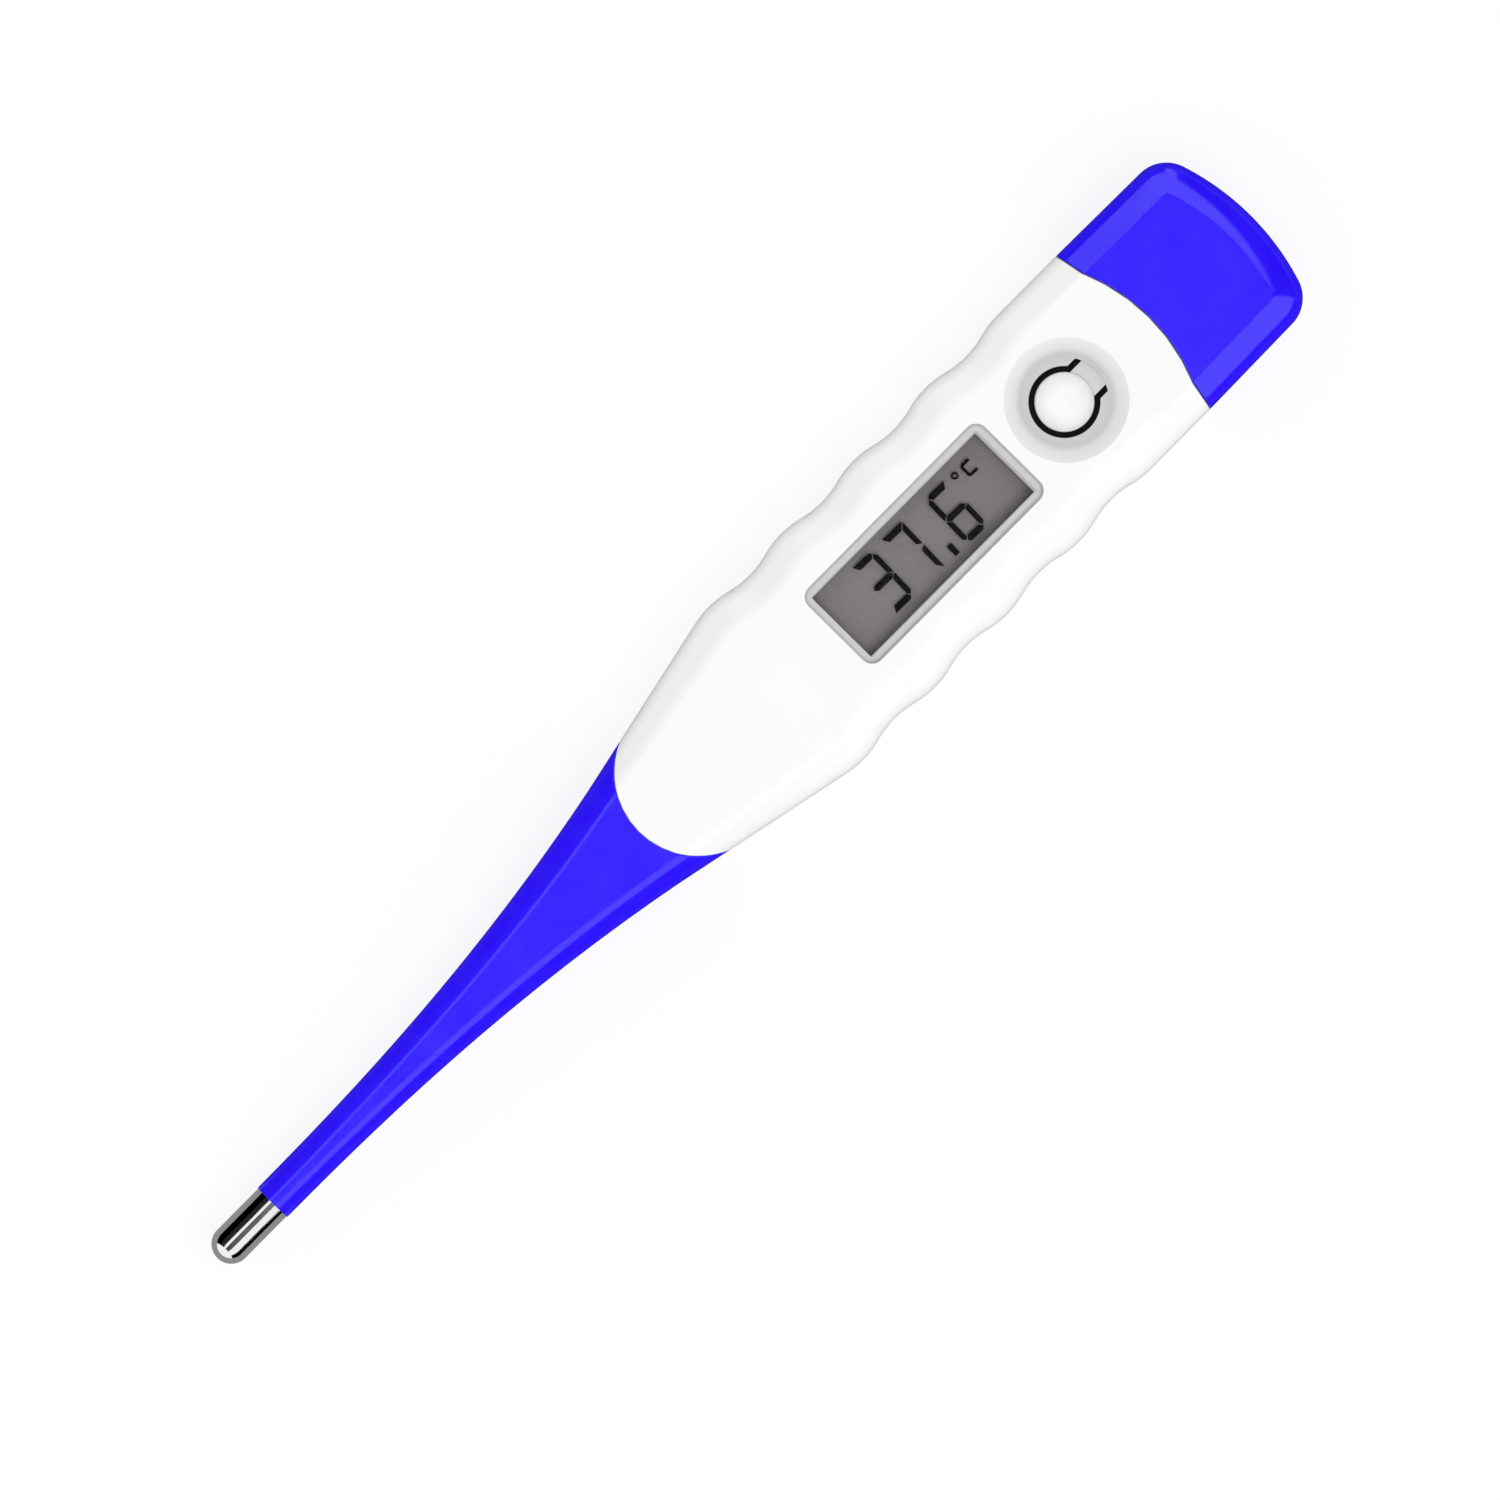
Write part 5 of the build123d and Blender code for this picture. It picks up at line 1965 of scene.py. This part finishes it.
# ---- Studio -----------------------------------------------------------------------------------------
@dataclass(frozen=True)
class Card:
    """A studio card that only mirrors see: how bright it is, and where it stands round the object.

    Angles are in degrees.  A long card lies round the X axis, with its angle measured from
    straight up towards -Y, and its reach along X in metres.
    """

    name: str
    level: float
    angles: tuple[float, float]
    reach: tuple[float, float]


@dataclass
class Studio:
    """Floor, lamp, mirror cards, white surroundings and the camera."""

    form: Form
    roll: float = math.radians(45.3)
    aim: tuple[float, float] = (0.22, -1.92)
    frame_width: float = 135.1
    focus_level: float = 4.5
    lens: float = 400.0
    sensor: float = 36.0
    floor_reach: float = 3.0
    floor_tone: float = 0.95
    floor_white: float = 0.85
    fill: float = 0.65
    lamp_power: float = 4.0
    lamp_angle: float = math.radians(14)
    lamp_size: float = 0.5
    lamp_distance: float = 0.9
    card_radius: float = 0.7
    table_height: float = 0.0004
    table_levels: tuple[float, float] = (0.3, 0.04)
    end_turns: tuple[float, float] = (-45, 35)
    end_tops: tuple[float, float] = (26, 84)
    end_foot: float = 88
    end_radius: float = 0.63
    end_setback: float = 8.0
    cards: tuple[Card, ...] = (
        Card("overhead_card", 0.3, (-5, 23), (-0.087, 0.07)),
        Card("cover_overhead_card", 0.12, (-5, 23), (0.07, 0.7)),
        Card("tip_overhead_card", 0.08, (-5, 23), (-0.7, -0.087)),
        Card("left_dim_card", 0.02, (-48, -20), (-0.7, 0.07)),
        Card("left_card", 0.0, (-90, -48), (-0.7, 0.07)),
        Card("low_left_card", 0.0, (-90, -66), (0.07, 0.7)),
        Card("low_right_card", 0.0, (67, 90), (-0.087, 0.7)),
        Card("tip_low_right_card", 0.0, (60, 90), (-0.7, -0.087)),
    )

    def camera(self) -> None:
        """Looks straight down, turned so that the thermometer lies across the picture."""
        data = bpy.data.cameras.new("camera")
        data.lens = self.lens
        data.sensor_width = self.sensor
        data.clip_start = 0.01
        camera = bpy.data.objects.new("camera", data)
        distance = self.frame_width * self.lens / self.sensor
        spot = Vector((self.aim[0], self.aim[1], self.form.mid + self.focus_level + distance)) * MM
        camera.matrix_world = Matrix.Translation(spot) @ Matrix.Rotation(-self.roll, 4, "Z")
        bpy.context.scene.collection.objects.link(camera)
        bpy.context.scene.camera = camera

    def stand(self, name: str, points: np.ndarray) -> bpy.types.Object:
        """A sheet of the studio, woven from a grid of points in metres.

        Args:
            name: the sheet's name.
            points: the grid.

        Returns:
            The sheet.
        """
        work = Patchwork()
        work.weave(work.add(points / MM))
        sheet = work.piece(name)
        return sheet

    def bare(self, sheet: bpy.types.Object) -> tuple[Tree, bpy.types.NodeSocket]:
        """Gives a sheet an empty material.

        Args:
            sheet: the sheet.

        Returns:
            The material's tree, and the socket of its surface.
        """
        material = bpy.data.materials.new(sheet.name)
        material.use_nodes = True
        material.node_tree.nodes.clear()
        sheet.data.materials.append(material)
        tree = Tree(material.node_tree)
        return tree, tree.node("ShaderNodeOutputMaterial").inputs["Surface"]

    def two_sights(
        self, tree: Tree, share: float, plain: bpy.types.Node, seen: bpy.types.Node
    ) -> bpy.types.NodeSocket:
        """Lets camera, glossy and transmitted rays meet another shader than the other rays do.

        Args:
            tree: the tree to build in.
            share: how much of the other shader those rays meet.
            plain: the shader for the other rays.
            seen: the other shader.

        Returns:
            The mixed shader's socket.
        """
        path = tree.node("ShaderNodeLightPath")
        total = path.outputs["Is Camera Ray"]
        for name in ("Is Glossy Ray", "Is Transmission Ray"):
            most = tree.node("ShaderNodeMath", operation="MAXIMUM")
            tree.link(total, most.inputs[0])
            tree.link(path.outputs[name], most.inputs[1])
            total = most.outputs[0]
        scaled = tree.node("ShaderNodeMath", {1: share}, operation="MULTIPLY")
        tree.link(total, scaled.inputs[0])
        mix = tree.node("ShaderNodeMixShader")
        for source, socket in zip((scaled, plain, seen), mix.inputs):
            tree.link(source.outputs[0], socket)
        return mix.outputs[0]

    def floor(self) -> None:
        """Pale floor that looks white to the camera and still takes the shadow."""
        x, y = np.meshgrid([-self.floor_reach, self.floor_reach], [-self.floor_reach, self.floor_reach])
        tree, surface = self.bare(self.stand("floor", np.stack([x, y, 0 * x], axis=-1)))
        tone = self.floor_tone
        diffuse = tree.node("ShaderNodeBsdfDiffuse", {"Color": (tone, tone, tone, 1)})
        glow = tree.node("ShaderNodeEmission")
        tree.link(self.two_sights(tree, self.floor_white, diffuse, glow), surface)

    def surroundings(self) -> None:
        """World light at a plain level, white where it is seen or mirrored."""
        world = bpy.data.worlds.new("surroundings")
        bpy.context.scene.world = world
        world.use_nodes = True
        tree = Tree(world.node_tree)
        soft = tree.data.nodes["Background"]
        dial(soft, {"Color": (1, 1, 1, 1), "Strength": self.fill})
        white = tree.node("ShaderNodeBackground", {"Color": (1, 1, 1, 1), "Strength": 1.0})
        output = tree.data.nodes["World Output"]
        tree.link(self.two_sights(tree, 1.0, soft, white), output.inputs["Surface"])

    def mirror_only(self, card: bpy.types.Object, level: float) -> None:
        """Makes a sheet an even glow that only mirrors and glass show: it gives no light or shadow.

        Args:
            card: the sheet.
            level: the glow's strength.
        """
        tree, surface = self.bare(card)
        tree.link(tree.node("ShaderNodeEmission", {"Strength": level}).outputs[0], surface)
        card.visible_camera = False
        card.visible_diffuse = False
        card.visible_volume_scatter = False
        card.visible_shadow = False

    def stand_cards(self) -> None:
        """Cards round the X axis: each angle gives a line (-r sin a, r cos a) along the card's reach."""
        for card in self.cards:
            angle, along = np.meshgrid(np.radians(np.linspace(*card.angles, 24)), card.reach, indexing="ij")
            ring = self.card_radius * np.stack([-np.sin(angle), np.cos(angle)], axis=-1)
            sheet = np.concatenate([along[..., None], ring], axis=-1)
            self.mirror_only(self.stand(card.name, sheet), card.level)
        self.end_card()
        rubber, far = float(self.form.x(self.form.rubber)) * MM, self.card_radius
        names, reaches = ("tip_table_card", "table_card"), ((-far, rubber), (rubber, far))
        for name, level, reach in zip(names, self.table_levels, reaches):
            x, y = np.meshgrid(reach, [-far, far])
            self.mirror_only(self.stand(name, np.stack([x, y, 0 * x + self.table_height], axis=-1)), level)

    def end_card(self) -> None:
        """Dark bowed card past the cover, whose upper edge sinks from -Y to +Y.

        A point at turn b and angle a from straight up is r (sin a cos b, sin a sin b, cos a) from
        the cover.
        """
        share, turn = np.meshgrid(np.linspace(0, 1, 12), np.linspace(*self.end_turns, 24), indexing="ij")
        upper = np.interp(turn, self.end_turns, self.end_tops)
        angle, bearing = np.radians(upper + share * (self.end_foot - upper)), np.radians(turn)
        flat = np.sin(angle)
        ray = np.stack([flat * np.cos(bearing), flat * np.sin(bearing), np.cos(angle)], axis=-1)
        middle = np.array([self.form.x(self.form.length - self.end_setback) * MM, 0, 0])
        self.mirror_only(self.stand("end_card", middle + self.end_radius * ray), 0.0)

    def key_lamp(self) -> None:
        """Wide soft lamp above, on the -Y side; the mirrors show the white surroundings in its place."""
        data = bpy.data.lights.new("key_lamp", "AREA")
        data.shape = "SQUARE"
        data.size = self.lamp_size
        data.energy = self.lamp_power
        lamp = bpy.data.objects.new("key_lamp", data)
        place = Vector((0.0, -math.sin(self.lamp_angle), math.cos(self.lamp_angle))) * self.lamp_distance
        lamp.matrix_world = Matrix.Translation(place) @ place.to_track_quat("Z", "Y").to_matrix().to_4x4()
        lamp.visible_camera = False
        lamp.visible_glossy = False
        lamp.visible_transmission = False
        bpy.context.scene.collection.objects.link(lamp)

    def build(self) -> None:
        """Sets up everything that isn't part of the object."""
        self.camera()
        self.floor()
        self.surroundings()
        self.stand_cards()
        self.key_lamp()
        bpy.context.scene.view_settings.view_transform = "Standard"


def main() -> None:
    """Builds the thermometer piece by piece, and then the studio round it."""
    logging.basicConfig(level=logging.INFO, format="%(name)s: %(message)s")
    form = Form.from_frame()
    wardrobe = Wardrobe.stocked()
    wardrobe.dress_frame()
    for assembly in (
        Housing(form, wardrobe),
        Cover(form, wardrobe),
        Stem(form, wardrobe),
        Tip(form, wardrobe),
        Key(form, wardrobe),
        Display(form, wardrobe),
        Studio(form),
    ):
        assembly.build()
        LOG.info("%s built", type(assembly).__name__)


if __name__ == "__main__":
    main()
